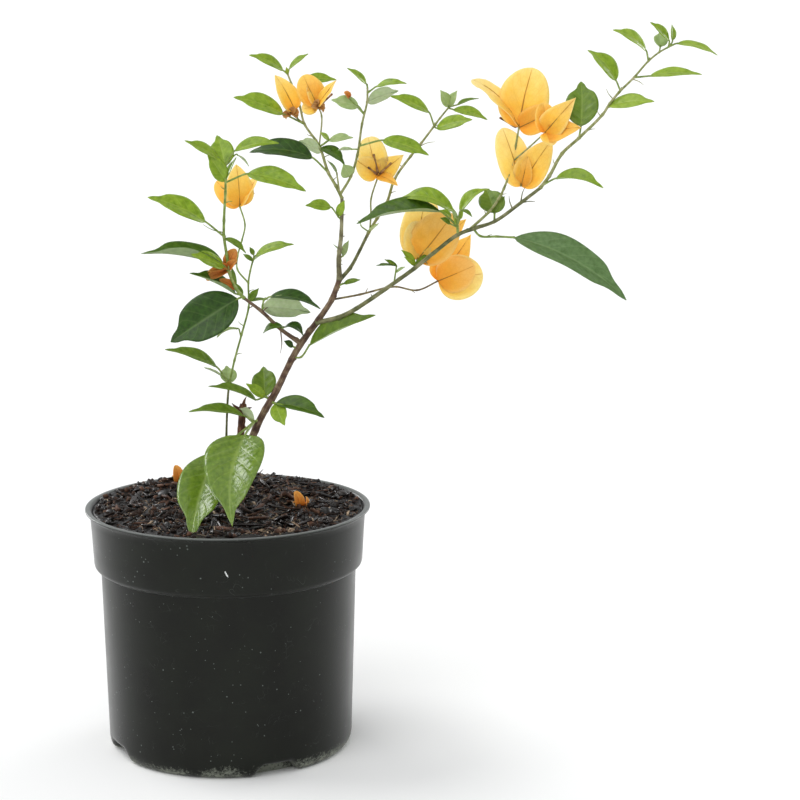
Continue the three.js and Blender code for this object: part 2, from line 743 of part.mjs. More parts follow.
// Adds a leaf or bract, with its stalk, to the list. One on a stalk is skipped if it meets a limb.
function blade(list, curve, row, cut) {
  const [at, stalk, spread, face, width, bow] = row;
  const root = nodeOf(curve, at);
  const base = root.clone();
  if (stalk) {
    base.addScaledVector(heading(stalk[1], stalk[2] ?? spread[2]), stalk[0]);
  }
  const shape = solid(bladeGeometry(base, spread, face, width, bow, cut));
  if (stalk && shape.intersect(limbSpace).volume() > 0) {
    return;
  }
  list.push(shape);
  if (stalk) {
    const end = base.clone().addScaledVector(heading(spread[1], spread[2]), STALK.sink);
    const line = new THREE.CatmullRomCurve3([root, base, end]);
    const thin = { radius: [STALK.radius, STALK.radius], sides: STALK.sides, rings: 2 };
    list.push(solid(limbGeometry(line, thin)));
  }
}

// A shoot's stem, its leaves, bracts and dried buds, and its side twigs.
function shoot(list, start, plan, sides) {
  const curve = walk(start, plan.steps);
  list.push(solid(limbGeometry(curve, { ...plan, sides, rings: plan.steps.length })));
  for (const row of plan.leaves ?? []) {
    blade(list, curve, row, LEAF);
  }
  for (const row of plan.bracts ?? []) {
    blade(list, curve, row, BRACT);
  }
  for (const [at, radius] of plan.buds ?? []) {
    const bud = new THREE.OctahedronGeometry(radius, 1);
    bud.translate(...nodeOf(curve, at).toArray());
    list.push(solid(bud));
  }
  for (const twig of plan.twigs ?? []) {
    shoot(list, nodeOf(curve, twig.at), twig, SIDES.twig);
  }
}

const group = new THREE.Group();
function add(name, body, colour, roughness) {
  const material = new THREE.MeshStandardMaterial({ color: colour, roughness, metalness: 0 });
  const mesh = new THREE.Mesh(geometryOf(body), material);
  mesh.name = name;
  group.add(mesh);
}

const seats = ["trunk", "slender_stem"].map((name) => {
  const foot = nodeOf(limbs[name].curve, 0);
  return { x: foot.x, y: foot.y, radius: LIMBS[name].radius[0] + LIMBS[name].flare + SEAT.margin };
});
add("pot", potSolid(), COLOURS.pot, 0.45);
add("potting_soil", soilSolid(seats), COLOURS.soil, 1);
for (const [name, limb] of Object.entries(limbs)) {
  add(name, limb.body, COLOURS[LIMBS[name].bark], 0.85);
}
for (const [name, plan] of Object.entries(SPRAYS)) {
  const list = [];
  shoot(list, nodeOf(limbs[plan.on].curve, plan.at), plan, SIDES.shoot);
  const body = largest(joined(list).subtract(limbSpace));
  add(name, body, name.includes("flower") ? COLOURS.flower : COLOURS.leaf, 0.6);
}

export default group;
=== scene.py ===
import math
import random
from collections import namedtuple

import bmesh
import bpy
from mathutils import Matrix, Vector, noise


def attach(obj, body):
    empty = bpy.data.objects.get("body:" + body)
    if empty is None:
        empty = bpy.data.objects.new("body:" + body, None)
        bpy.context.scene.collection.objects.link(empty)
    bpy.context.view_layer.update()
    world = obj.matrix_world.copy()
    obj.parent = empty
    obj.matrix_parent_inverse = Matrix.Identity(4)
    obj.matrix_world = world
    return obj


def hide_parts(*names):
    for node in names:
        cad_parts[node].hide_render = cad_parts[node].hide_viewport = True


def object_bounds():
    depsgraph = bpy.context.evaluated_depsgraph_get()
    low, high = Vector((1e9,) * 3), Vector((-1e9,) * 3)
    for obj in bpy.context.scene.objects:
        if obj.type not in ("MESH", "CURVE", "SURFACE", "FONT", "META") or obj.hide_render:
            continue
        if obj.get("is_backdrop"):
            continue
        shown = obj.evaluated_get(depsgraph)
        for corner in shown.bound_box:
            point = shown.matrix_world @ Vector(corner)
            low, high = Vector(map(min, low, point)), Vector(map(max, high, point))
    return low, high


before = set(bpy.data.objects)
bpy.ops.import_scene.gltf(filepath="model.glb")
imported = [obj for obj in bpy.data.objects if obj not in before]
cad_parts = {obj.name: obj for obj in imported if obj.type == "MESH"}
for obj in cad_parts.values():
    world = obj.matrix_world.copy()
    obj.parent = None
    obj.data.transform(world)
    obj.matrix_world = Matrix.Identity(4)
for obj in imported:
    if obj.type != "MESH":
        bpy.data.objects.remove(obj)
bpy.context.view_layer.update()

# The camera stands well back and a little above the plant, with a long lens, so that the pot's
# mouth shows as a flat ellipse and its wall is seen almost level.
camera_lens = bpy.data.cameras.new("camera")
camera_lens.lens = 102.6
camera_lens.sensor_width = 36
camera_lens.clip_end = 100
camera = bpy.data.objects.new("camera", camera_lens)
camera.location = (0.115, -1.485, 0.520)
camera.rotation_euler = (math.radians(79.14), 0, 0)
bpy.context.scene.collection.objects.link(camera)
bpy.context.scene.camera = camera

# A plain pale studio floor, which runs on for many metres behind the plant, and soft light: a wide
# source in front on the left, one overhead, two behind that draw the edges, and a pale room.
FLOOR_HALF = 45
ROOM_LIGHT = 0.62


def linear(code):
    """The linear light of a colour that is written as an sRGB hex value."""
    shares = [int(code[i:i + 2], 16) / 255 for i in (1, 3, 5)]
    return [s / 12.92 if s <= 0.04045 else ((s + 0.055) / 1.055) ** 2.4 for s in shares] + [1]


def output(source):
    """The socket that a link starts from: the one that a pair names, or a node's first in use."""
    if isinstance(source, tuple):
        return source[0].outputs[source[1]]
    return next(socket for socket in source.outputs if socket.enabled)


def node(tree, kind, inputs=(), stops=(), **settings):
    """Adds a node with its settings, its inputs by name or in their order, each a value or what
    it is linked from, and its colour stops. A MapRange's inputs are what it maps, from low, from
    high, to low and to high."""
    made = tree.nodes.new("ShaderNode" + kind)
    for name, value in settings.items():
        setattr(made, name, value)
    for name, value in inputs.items() if isinstance(inputs, dict) else enumerate(inputs):
        if isinstance(value[0] if isinstance(value, tuple) else value, bpy.types.Node):
            tree.links.new(output(value), made.inputs[name])
        else:
            made.inputs[name].default_value = value
    if stops:
        marks = made.color_ramp.elements
        while len(marks) < len(stops):
            marks.new(0.5)
        for mark, (place, colour) in zip(marks, stops):
            mark.position = place
            mark.color = linear(colour)
    return made


def finish(name, **constants):
    """A new material: its node tree and its shader, with the shader's constant values set."""
    material = bpy.data.materials.new(name)
    material.use_nodes = True
    tree = material.node_tree
    shader = tree.nodes["Principled BSDF"]
    for socket, value in constants.items():
        shader.inputs[socket.replace("_", " ")].default_value = value
    return material, tree, shader


floor_finish, _, _ = finish("painted studio floor", Roughness=0.9, Specular_IOR_Level=0.1,
                            Base_Color=linear("#fbfbfa"))
floor_mesh = bpy.data.meshes.new("floor")
bm = bmesh.new()
bmesh.ops.create_grid(bm, x_segments=1, y_segments=1, size=FLOOR_HALF)
bm.to_mesh(floor_mesh)
bm.free()
floor_mesh.materials.append(floor_finish)
floor = bpy.data.objects.new("floor", floor_mesh)
bpy.context.scene.collection.objects.link(floor)
floor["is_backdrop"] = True

room = bpy.data.worlds.new("room")
room.use_nodes = True
room.node_tree.nodes["Background"].inputs["Color"].default_value = linear("#f4f6f8")
room.node_tree.nodes["Background"].inputs["Strength"].default_value = ROOM_LIGHT
bpy.context.scene.world = room
bpy.context.scene.view_settings.view_transform = "Standard"

for name, strength, softness, place in [
    ("front light", 0.98, 50, (-0.45, -1.0, 1.1)),
    ("overhead light", 0.82, 28, (-0.55, 0.15, 0.82)),
    ("left back light", 1.5, 34, (-0.8, 0.85, 0.2)),
    ("right back light", 1.18, 34, (0.8, 0.85, 0.22)),
]:
    lamp = bpy.data.lights.new(name, "SUN")
    lamp.energy = strength
    lamp.angle = math.radians(softness)
    holder = bpy.data.objects.new(name, lamp)
    holder.rotation_euler = Vector(place).to_track_quat("Z", "Y").to_euler()
    bpy.context.scene.collection.objects.link(holder)

# The pot: a round nursery pot of black polypropylene, moulded in one piece, with a deep collar,
# a turned-out rim that stiffens it, and four notches round its foot through which it drains.
# Moulding leaves it satin, and handling leaves dust, fine scratches and a scuffed foot.
MM = 0.001
POT_HEIGHT = 164
COLLAR_FOOT = 124.5
WALL_THICK = 1.8
FLOOR_THICK = 2.2
FOOT_RADIUS = 75
POT_TURNS = 288
NOTCHES = dict(first=26.5, apart=90, half_width=9.7, ease=3.2, height=7.6, inner=70.5, fade=1.6)
NOTCH_REACH = 13
INNER_LEDGE = dict(height=9, radius=81)
DRAIN_HOLES = dict(count=6, radius=5, ring=44, sides=28, depth=12)


def wall_radius(z):
    """The outer radius of the wall below the collar, which widens upward."""
    return 81.8 + 3.5 * z / COLLAR_FOOT


POT_PROFILE = [
    (0, 0), (30, 0), (52, 0), (66, 0), (69, 0), (70.5, 0), (72.2, 0), (FOOT_RADIUS, 0),
    (77.4, 0.3), (79.3, 1.3), (80.6, 2.8), (81.5, 4.9), (wall_radius(7.6), 7.6),
    (wall_radius(10), 10), (wall_radius(13), 13), (wall_radius(18), 18), (wall_radius(60), 60),
    (wall_radius(112), 112), (wall_radius(121.6), 121.6), (wall_radius(123), 122.9),
    (86.5, 123.7), (88.5, 124.9), (89.3, 125.8), (89.7, 127.4), (90.2, 136), (90.8, 147),
    (91.5, 157), (91.9, 160.2), (92.8, 161.6), (94.2, 162.2), (94.9, 162.8), (95, 163.3),
    (94.8, 163.8), (94.2, POT_HEIGHT), (92.2, 163.9), (91, 163.3), (90.2, 161.6), (90, 159),
    (89.1, 140), (88.1, 127.5), (wall_radius(124.5) - WALL_THICK, 122.5),
    (wall_radius(60) - WALL_THICK, 60), (wall_radius(9.5) - WALL_THICK, 11), (77, 9.5),
    (66, 9.5), (61.5, 6), (60.2, FLOOR_THICK), (30, FLOOR_THICK), (0, FLOOR_THICK),
]


def piece_of(name, bm, finishes, sharp=None):
    """A piece made in millimetres, in metres from here on, at the origin and smooth-shaded."""
    bmesh.ops.scale(bm, vec=(MM, MM, MM), verts=bm.verts)
    mesh = bpy.data.meshes.new(name)
    bm.to_mesh(mesh)
    bm.free()
    mesh.shade_smooth()
    if sharp:
        mesh.set_sharp_from_angle(angle=math.radians(sharp))
    for material in finishes:
        mesh.materials.append(material)
    piece = bpy.data.objects.new(name, mesh)
    bpy.context.scene.collection.objects.link(piece)
    return piece


def spun(bm, profile, turns):
    """Spins a line of (radius, height) points about the vertical into a closed skin."""
    points = [bm.verts.new((radius, 0, height)) for radius, height in profile]
    line = [bm.edges.new(pair) for pair in zip(points, points[1:])]
    bmesh.ops.spin(bm, geom=points + line, cent=(0, 0, 0), axis=(0, 0, 1),
                   angle=math.tau, steps=turns, use_merge=True)
    bmesh.ops.remove_doubles(bm, verts=bm.verts, dist=0.001)
    bmesh.ops.recalc_face_normals(bm, faces=bm.faces)


def smooth_step(x):
    """Eases from 0 to 1 as x does."""
    x = max(0, min(1, x))
    return x * x * (3 - 2 * x)


def patches(width):
    """The scale of a pattern whose patches are this wide, in millimetres."""
    return 1 / (width * MM)


def dress(tree, shader, colour, height, strength, depth, roughness=None, sunken=False):
    """Gives a shader its colour, its relief, whose depth is in millimetres, and its roughness."""
    skin = node(tree, "Bump", {"Height": height, "Strength": strength, "Distance": depth * MM},
                invert=sunken)
    for socket, source in (("Base Color", colour), ("Normal", skin), ("Roughness", roughness)):
        if source is not None:
            tree.links.new(output(source), shader.inputs[socket])


bm = bmesh.new()
spun(bm, POT_PROFILE, POT_TURNS)
for vert in bm.verts:
    radius = math.hypot(vert.co.x, vert.co.y)
    inside = vert.co.z > INNER_LEDGE["height"] and radius < INNER_LEDGE["radius"]
    if vert.co.z >= NOTCH_REACH or radius < NOTCHES["inner"] - 2 or inside:
        continue
    turn = math.degrees(math.atan2(vert.co.x, -vert.co.y)) - NOTCHES["first"]
    off = abs((turn + NOTCHES["apart"] / 2) % NOTCHES["apart"] - NOTCHES["apart"] / 2)
    rise = smooth_step((NOTCHES["half_width"] + NOTCHES["ease"] - off) / (2 * NOTCHES["ease"]))
    rise *= smooth_step((radius - NOTCHES["inner"]) / NOTCHES["fade"]) * NOTCHES["height"]
    vert.co.z = rise + vert.co.z * (NOTCH_REACH - rise) / NOTCH_REACH

pot_finish, tree, shader = finish("moulded black polypropylene", Specular_IOR_Level=0.22,
                                  Sheen_Weight=0.16, Sheen_Roughness=0.35)
on_pot = (node(tree, "TexCoord"), "Object")
level = (node(tree, "SeparateXYZ", [on_pot]), "Z")
cloud = node(tree, "TexNoise", {"Vector": on_pot, "Scale": patches(26.32), "Detail": 5})
grain = node(tree, "TexNoise", {"Vector": on_pot, "Scale": patches(1.111), "Detail": 3})
tint = node(tree, "ValToRGB", [cloud], [(0.35, "#070903"), (0.7, "#10140b")])
# Grains of dust and drops of dried water, up to 0.8 mm across and about 4 mm apart.
specks = node(tree, "TexVoronoi", {"Vector": on_pot, "Scale": patches(3.846)})
few = node(tree, "TexNoise", {"Vector": on_pot, "Scale": patches(16.67), "Detail": 2})
reach = node(tree, "MapRange", [few, 0.4, 0.7, 0.0, 0.16])
dot = node(tree, "Math", [reach, specks], operation="GREATER_THAN")
dusty = node(tree, "Mix", {"Factor": dot, "A": tint, "B": linear("#555b57")}, data_type="RGBA")
# Short scratches, where the edges of large cells, bent every 48 mm, cross a patchy mask.
bent = node(tree, "TexNoise", {"Vector": on_pot, "Scale": patches(47.62), "Detail": 2})
cells = node(tree, "TexVoronoi", {"Vector": (bent, "Color"), "Scale": 19},
             feature="DISTANCE_TO_EDGE")
hair = node(tree, "MapRange", [cells, 0.0, 0.012, 1.0, 0.0])
bit = node(tree, "TexNoise", {"Vector": on_pot, "Scale": patches(11.765), "Detail": 2})
short = node(tree, "MapRange", [bit, 0.56, 0.68, 0.0, 0.5])
scratch = node(tree, "Math", [hair, short], operation="MULTIPLY")
scratched = node(tree, "Mix", {"Factor": scratch, "A": dusty, "B": linear("#565b57")},
                 data_type="RGBA")
# The foot is scuffed over its lowest 16 mm, and its film of lime and silt is patchy.
low = node(tree, "MapRange", [level, 16 * MM, 0.0, 0.0, 1.0])
wide = node(tree, "MapRange", [cloud, 0.36, 0.66, 0.5, 1.1])
film = node(tree, "Math", [low, wide], operation="MULTIPLY")
fine = node(tree, "TexNoise", {"Vector": on_pot, "Scale": patches(2.083), "Detail": 3,
                               "Roughness": 0.8})
patch = node(tree, "Math", [film, fine], operation="MULTIPLY")
scuff = node(tree, "MapRange", [patch, 0.24, 0.4, 0.0, 0.9])
scuffed = node(tree, "Mix", {"Factor": scuff, "A": scratched, "B": linear("#868a7e")},
               data_type="RGBA")
# A painted highlight: the rim is made paler along its top edge, where its rounded lip catches the light.
top = node(tree, "MapRange", [level, (POT_HEIGHT - 1) * MM, POT_HEIGHT * MM, 0.0, 0.36])
rim_highlighted = node(tree, "Mix", {"Factor": top, "A": scuffed, "B": linear("#a6aba8")},
              data_type="RGBA")
# One fresh nick, about 5 mm long, shows white on the front of the collar.
nick = node(tree, "Mapping", {"Vector": on_pot, "Location": (0.0052, -0.0896, 0.1402),
                              "Rotation": (0, math.radians(-26), 0),
                              "Scale": (0.0005, 0.004, 0.0026)}, vector_type="TEXTURE")
away = node(tree, "VectorMath", [nick], operation="LENGTH")
ragged = node(tree, "Math", [grain, 1.7], operation="MULTIPLY")
nicked = node(tree, "Math", [ragged, away], operation="GREATER_THAN")
coloured = node(tree, "Mix", {"Factor": nicked, "A": rim_highlighted, "B": linear("#d5d8d6")},
                data_type="RGBA")
gloss = node(tree, "MapRange", [cloud, 0.3, 0.7, 0.27, 0.37])
duller = node(tree, "Math", [gloss, scuff], operation="ADD", use_clamp=True)
dress(tree, shader, coloured, grain, 0.25, 0.1, duller)

pot = piece_of("nursery_pot", bm, [pot_finish], sharp=50)
bm = bmesh.new()
for i in range(DRAIN_HOLES["count"]):
    turn = math.tau * (i + 0.5) / DRAIN_HOLES["count"]
    spot = Vector((math.cos(turn), math.sin(turn), 0)) * DRAIN_HOLES["ring"]
    bmesh.ops.create_cone(bm, cap_ends=True, segments=DRAIN_HOLES["sides"],
                          radius1=DRAIN_HOLES["radius"], radius2=DRAIN_HOLES["radius"],
                          depth=DRAIN_HOLES["depth"], matrix=Matrix.Translation(spot))
drill = piece_of("drill", bm, [])
cut = pot.modifiers.new("drain holes", "BOOLEAN")
cut.object = drill
cut.solver = "EXACT"
drilled = bpy.data.meshes.new_from_object(pot.evaluated_get(bpy.context.evaluated_depsgraph_get()))
pot.modifiers.clear()
pot.data = drilled
bpy.data.objects.remove(drill)
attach(pot, "root")
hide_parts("pot")

# The compost: moist dark peat, pressed round the roots and heaped almost to the rim, with loose
# crumbs, clods, flat chips and curled strips of bark, thin dead roots and a little pale grit. The
# bracts that have fallen on it are a piece of their own.
SOIL_SEED = 411
SOIL_LEVEL = 162.8
SOIL_EDGE_RADIUS = 89.6
SOIL_EDGE_LEVEL = 158
SOIL_GAP = 0.4
SOIL_PROFILE = [
    (0, FLOOR_THICK + SOIL_GAP), (60, FLOOR_THICK + SOIL_GAP), (66, 9.9), (79.6, 9.9),
    (83.2, 122), (87.5, 127.5), (SOIL_EDGE_RADIUS, SOIL_EDGE_LEVEL),
]
SOIL_RINGS = 84
SOIL_TURNS = 260
CRUMBS = 2400
FIBRES = 1100
CHIPS = 1000
CLODS = 64
STRIPS = 120
SANDY = dict(x=36, y=-72, reach=13)
FALLEN = [((48, -4), 13.5, 348), ((-39, 60), 14.5, 354)]
WET_PEAT, DRY_PEAT, CHIP, STRAW, WET_BARK = range(5)


def lumps(x, y, size, height, layer):
    """How far lumps of one size, in millimetres, raise or sink the compost."""
    return height * noise.noise(Vector((x / size, y / size, layer)))


def soil_height(x, y):
    """The top of the compost: heaped at the back, with finer and finer crumbling on low swells."""
    share = min(1, math.hypot(x, y) / SOIL_EDGE_RADIUS)
    heap = 3.4 * smooth_step((y - 2) / 45) * (1 - 0.6 * smooth_step((share - 0.8) / 0.2))
    swell = math.sin(x / 9.5 + 1.3) * math.cos(y / 11 + 0.4) + 0.6 * math.sin((x + y) / 6.3)
    swell += 0.5 * math.cos((x - 2 * y) / 14)
    rough = lumps(x, y, 9, 2.6, 0) + lumps(x, y, 3.6, 1.8, 7) + lumps(x, y, 1.4, 0.8, 3)
    front = smooth_step((-y - 45) / 30)
    uneven = (0.5 * swell + rough) * (1 - 0.6 * share ** 8)
    return SOIL_LEVEL + heap + front + uneven - 0.6 * share ** 6


bm = bmesh.new()
top_level = SOIL_EDGE_LEVEL + 2
rings = [(SOIL_EDGE_RADIUS * (1 - (i / SOIL_RINGS)), top_level) for i in range(SOIL_RINGS + 1)]
spun(bm, SOIL_PROFILE + rings, SOIL_TURNS)
for vert in bm.verts:
    if vert.co.z > top_level - 1:
        vert.co.z = soil_height(vert.co.x, vert.co.y)

draw = random.Random(SOIL_SEED)
noise.seed_set(SOIL_SEED)


def soil_spot(margin):
    """A spot on the compost, as likely in any part of it."""
    radius = (SOIL_EDGE_RADIUS - margin) * math.sqrt(draw.random())
    turn = math.tau * draw.random()
    return radius * math.cos(turn), radius * math.sin(turn)


def resting(x, y, rise):
    """The move that lays a small thing on the compost, its middle this much above it."""
    return Matrix.Translation((x, y, soil_height(x, y) + rise))


def jolt(verts, reach):
    """Moves each corner of a small thing a little, so that it looks broken."""
    for vert in verts:
        vert.co += Vector([reach * (draw.random() - 0.5) for _ in range(3)])


def paint(verts, slot):
    """Gives all the faces at these corners one of the piece's materials."""
    for face in {face for vert in verts for face in vert.link_faces}:
        face.material_index = slot


def add_crumb(bm):
    """A crumb of peat: a small lump with about as many sides as it can show."""
    x, y = soil_spot(1)
    size = 0.5 + 2.4 * draw.random() ** 3
    spin = Matrix.Rotation(math.tau * draw.random(), 4, Vector((draw.random(), draw.random(), 1)))
    squash = Matrix.Diagonal((1, 0.6 + 0.4 * draw.random(), 0.5 + 0.4 * draw.random(), 1))
    lump = bmesh.ops.create_icosphere(bm, subdivisions=1, radius=size,
                                      matrix=resting(x, y, 0.25 * size) @ spin @ squash)["verts"]
    jolt(lump, 0.35 * size)
    sandy = math.hypot(x - SANDY["x"], y - SANDY["y"]) < SANDY["reach"]
    dark = (WET_PEAT, WET_PEAT, DRY_PEAT, DRY_PEAT, CHIP)
    paint(lump, draw.choice((DRY_PEAT, CHIP, STRAW, STRAW) if sandy else dark))


def add_clod(bm):
    """A rough clod of wet peat that holds together, clear of the fallen bracts."""
    size = 2.2 + 3.2 * draw.random() ** 2
    x, y = soil_spot(2.5 + size)
    if min(math.hypot(x - spot[0], y - spot[1]) for spot, _, _ in FALLEN) < 9 + size:
        return
    spin = Matrix.Rotation(math.tau * draw.random(), 4, "Z")
    squash = Matrix.Diagonal((1, 0.65 + 0.35 * draw.random(), 0.45 + 0.2 * draw.random(), 1))
    lump = bmesh.ops.create_icosphere(bm, subdivisions=2, radius=size,
                                      matrix=resting(x, y, 0.2 * size) @ spin @ squash)["verts"]
    for vert in lump:
        vert.co += noise.noise_vector(vert.co / size * 1.3) * 0.45 * size
        vert.co += noise.noise_vector(vert.co * 0.9) * 0.7
    paint(lump, draw.choice((WET_PEAT, WET_PEAT, DRY_PEAT, WET_BARK)))


def add_chip(bm):
    """A flat chip of bark, split rough."""
    size = 1 + 2.4 * draw.random() ** 2 + 3.6 * draw.random() ** 9
    x, y = soil_spot(1.2 + 1.3 * size)
    spin = Matrix.Rotation(math.tau * draw.random(), 4, "Z")
    spin = spin @ Matrix.Rotation(1.1 * (draw.random() - 0.5), 4, "Y")
    spin = spin @ Matrix.Rotation(1.6 * (draw.random() - 0.5), 4, "X")
    shape = Matrix.Diagonal((2.6 * size, (0.25 + 0.45 * draw.random()) * size, 0.25 * size, 1))
    there = resting(x, y, 0.3 * size)
    chip = bmesh.ops.create_cube(bm, size=1, matrix=there @ spin @ shape)["verts"]
    jolt(chip, 0.3 * size)
    small = (WET_PEAT, DRY_PEAT, CHIP, CHIP, WET_BARK, WET_BARK, WET_BARK, STRAW)
    paint(chip, draw.choice(small if size < 3 else (WET_PEAT, DRY_PEAT, CHIP, WET_BARK, WET_BARK)))


def heading(clock, lean):
    """The unit vector of a clock angle, seen from the front, and a lean toward the front."""
    c = math.radians(clock)
    l = math.radians(lean)
    return Vector((math.sin(c) * math.cos(l), -math.sin(l), math.cos(c) * math.cos(l)))


def walk(start, steps):
    """The nodes that a list of steps walks to."""
    nodes = [Vector(start)]
    for length, clock, lean in steps:
        nodes.append(nodes[-1] + heading(clock, lean) * length)
    return nodes


def on_curve(nodes, share):
    """The point at a share of the smooth centripetal curve through the nodes."""
    last = len(nodes) - 1
    i = min(int(share * last), last - 1)
    w = share * last - i
    a, b = nodes[i], nodes[i + 1]
    before = nodes[i - 1] if i > 0 else 2 * a - b
    after = nodes[i + 2] if i + 2 <= last else 2 * b - a
    step = math.sqrt((b - a).length)
    back = math.sqrt((a - before).length)
    ahead = math.sqrt((after - b).length)
    start = ((a - before) / back - (b - before) / (back + step) + (b - a) / step) * step
    end = ((b - a) / step - (after - a) / (step + ahead) + (after - b) / ahead) * step
    return (a + start * w + (3 * (b - a) - 2 * start - end) * w ** 2
            + (2 * (a - b) + start + end) * w ** 3)


def node_of(nodes, at):
    """The point of a limb's curve at a node, or between two where the number isn't whole."""
    return on_curve(nodes, min(1, at / (len(nodes) - 1)))


def add_tube(bm, nodes, radius, sides, rings, slot=0, skin=None, blunt=0.5):
    """A tapering round limb along the nodes, closed at both ends. skin(t, turn) gives a share
    that swells it and a shift along it. The U of its UV map runs round it, the V along it."""
    grid = bmesh.ops.create_grid(bm, x_segments=sides, y_segments=rings + 2, size=1, calc_uvs=True)
    frames = []
    across = Vector((0, -1, 0))
    for i in range(rings + 1):
        t = i / rings
        along = on_curve(nodes, min(1, t + 0.004)) - on_curve(nodes, max(0, t - 0.004))
        along = along.normalized()
        across = (across - along * across.dot(along)).normalized()
        frames.append((on_curve(nodes, t), across, along.cross(across), along))
    for vert in grid["verts"]:
        ring = round((vert.co.y + 1) / 2 * (rings + 2)) - 1
        turn = math.pi * (vert.co.x + 1)
        inside = min(max(ring, 0), rings)
        t = inside / rings
        centre, across, out, along = frames[inside]
        size = radius[0] + (radius[1] - radius[0]) * t
        shift = 0
        if skin:
            swell, shift = skin(t, turn % math.tau)
            size *= swell
        if ring < 0 or ring > rings:
            shift = blunt * size * (1 if ring > rings else -1)
            size = 0
        spoke = across * math.cos(turn) + out * math.sin(turn)
        vert.co = centre + spoke * size + along * shift
    paint(grid["verts"], slot)
    bmesh.ops.remove_doubles(bm, verts=grid["verts"], dist=1e-5)


def add_fibre(bm):
    """A thin root or fibre that lies on the compost and arches a little off it."""
    x, y = soil_spot(6)
    path = [Vector((x, y, soil_height(x, y) + 0.1))]
    turn = 360 * draw.random()
    size = 1.2 + 2.6 * draw.random()
    bends = [turn, turn + 90 * (draw.random() - 0.5), turn + 160 * (draw.random() - 0.5)]
    limit = SOIL_EDGE_RADIUS - 2
    for k, bend in enumerate(bends):
        flat = Vector((math.cos(math.radians(bend)), math.sin(math.radians(bend)), 0))
        reached = path[-1] + flat * size
        if math.hypot(reached.x, reached.y) > limit:
            reached *= limit / math.hypot(reached.x, reached.y)
        arch = 2.4 * draw.random() ** 2 if k == 1 else 0.3
        reached.z = soil_height(reached.x, reached.y) + arch
        path.append(reached)
    thick = 0.13 + 0.4 * draw.random() ** 2
    add_tube(bm, path, (thick, thick * 0.6), 4, 6, draw.choice((DRY_PEAT, CHIP, STRAW)))


def add_strip(bm):
    """A long curled strip of bark or dead root that lies askew."""
    size = 6 + 13 * draw.random() ** 1.6
    x, y = soil_spot(3 + 0.6 * size)
    turn = math.tau * draw.random()
    half = Vector((math.cos(turn), math.sin(turn), 0.5 * (draw.random() - 0.4))) * size / 2
    middle = Vector((x, y, soil_height(x, y) + 0.7 + 0.06 * size))
    bend = Vector((-half.y, half.x, 0)) * 0.5 * (draw.random() - 0.5)
    path = [middle - half, middle + bend, middle + half]
    for spot in path:
        spot.z = max(spot.z, soil_height(spot.x, spot.y) + 0.3)
    wide = 0.5 + 1.1 * draw.random() ** 1.5
    lean = math.pi * draw.random()
    pale = STRAW if size < 9 else WET_BARK
    slot = draw.choice((WET_PEAT, WET_BARK, WET_BARK, CHIP, CHIP, pale))

    def split(t, turn):
        """The strip is flat, narrows at its ends and has torn edges."""
        flat = 0.3 + 0.7 * abs(math.cos(turn + lean))
        return flat * (1 - 0.6 * abs(2 * t - 1) ** 4) * (0.8 + 0.5 * draw.random()), 0

    add_tube(bm, path, (wide, wide * 0.8), 6, 7, slot, split)


# An operator slows down as its mesh grows, so the small things are made a batch at a time.
BATCH = 40
for count, add in ((CRUMBS, add_crumb), (CHIPS, add_chip), (FIBRES, add_fibre), (CLODS, add_clod),
                   (STRIPS, add_strip)):
    for first in range(0, count, BATCH):
        few = bmesh.new()
        for i in range(min(BATCH, count - first)):
            add(few)
        batch = bpy.data.meshes.new("batch")
        few.to_mesh(batch)
        few.free()
        bm.from_mesh(batch)
        bpy.data.meshes.remove(batch)


def earth_finish(name, dark, light, roughness, mottling):
    """Crumbly organic matter, mottled over patches of a real size in millimetres, with grit of
    0.7 mm. Wet matter shines more."""
    material, tree, shader = finish(name, Roughness=roughness,
                                    Specular_IOR_Level=0.5 if roughness < 0.5 else 0.25)
    place = (node(tree, "TexCoord"), "Object")
    mottle = node(tree, "TexNoise", {"Vector": place, "Scale": patches(mottling), "Detail": 6,
                                     "Roughness": 0.65})
    tint = node(tree, "ValToRGB", [mottle], [(0.36, dark), (0.66, light)])
    grit = node(tree, "TexNoise", {"Vector": place, "Scale": patches(0.7143), "Detail": 4})
    dress(tree, shader, tint, grit, 0.7, 0.4)
    return material


EARTHS = [
    earth_finish("wet peat", "#050302", "#170f0c", 0.4, 9),
    earth_finish("dry peat", "#120b08", "#35241b", 0.8, 6),
    earth_finish("bark chip", "#2a1a13", "#6c4c3a", 0.6, 5),
    earth_finish("straw and stone", "#7d6853", "#c0aa90", 0.75, 5),
    earth_finish("wet bark", "#080504", "#2a1d18", 0.24, 7),
]
compost = piece_of("compost", bm, EARTHS)
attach(compost, "root")
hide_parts("potting_soil")

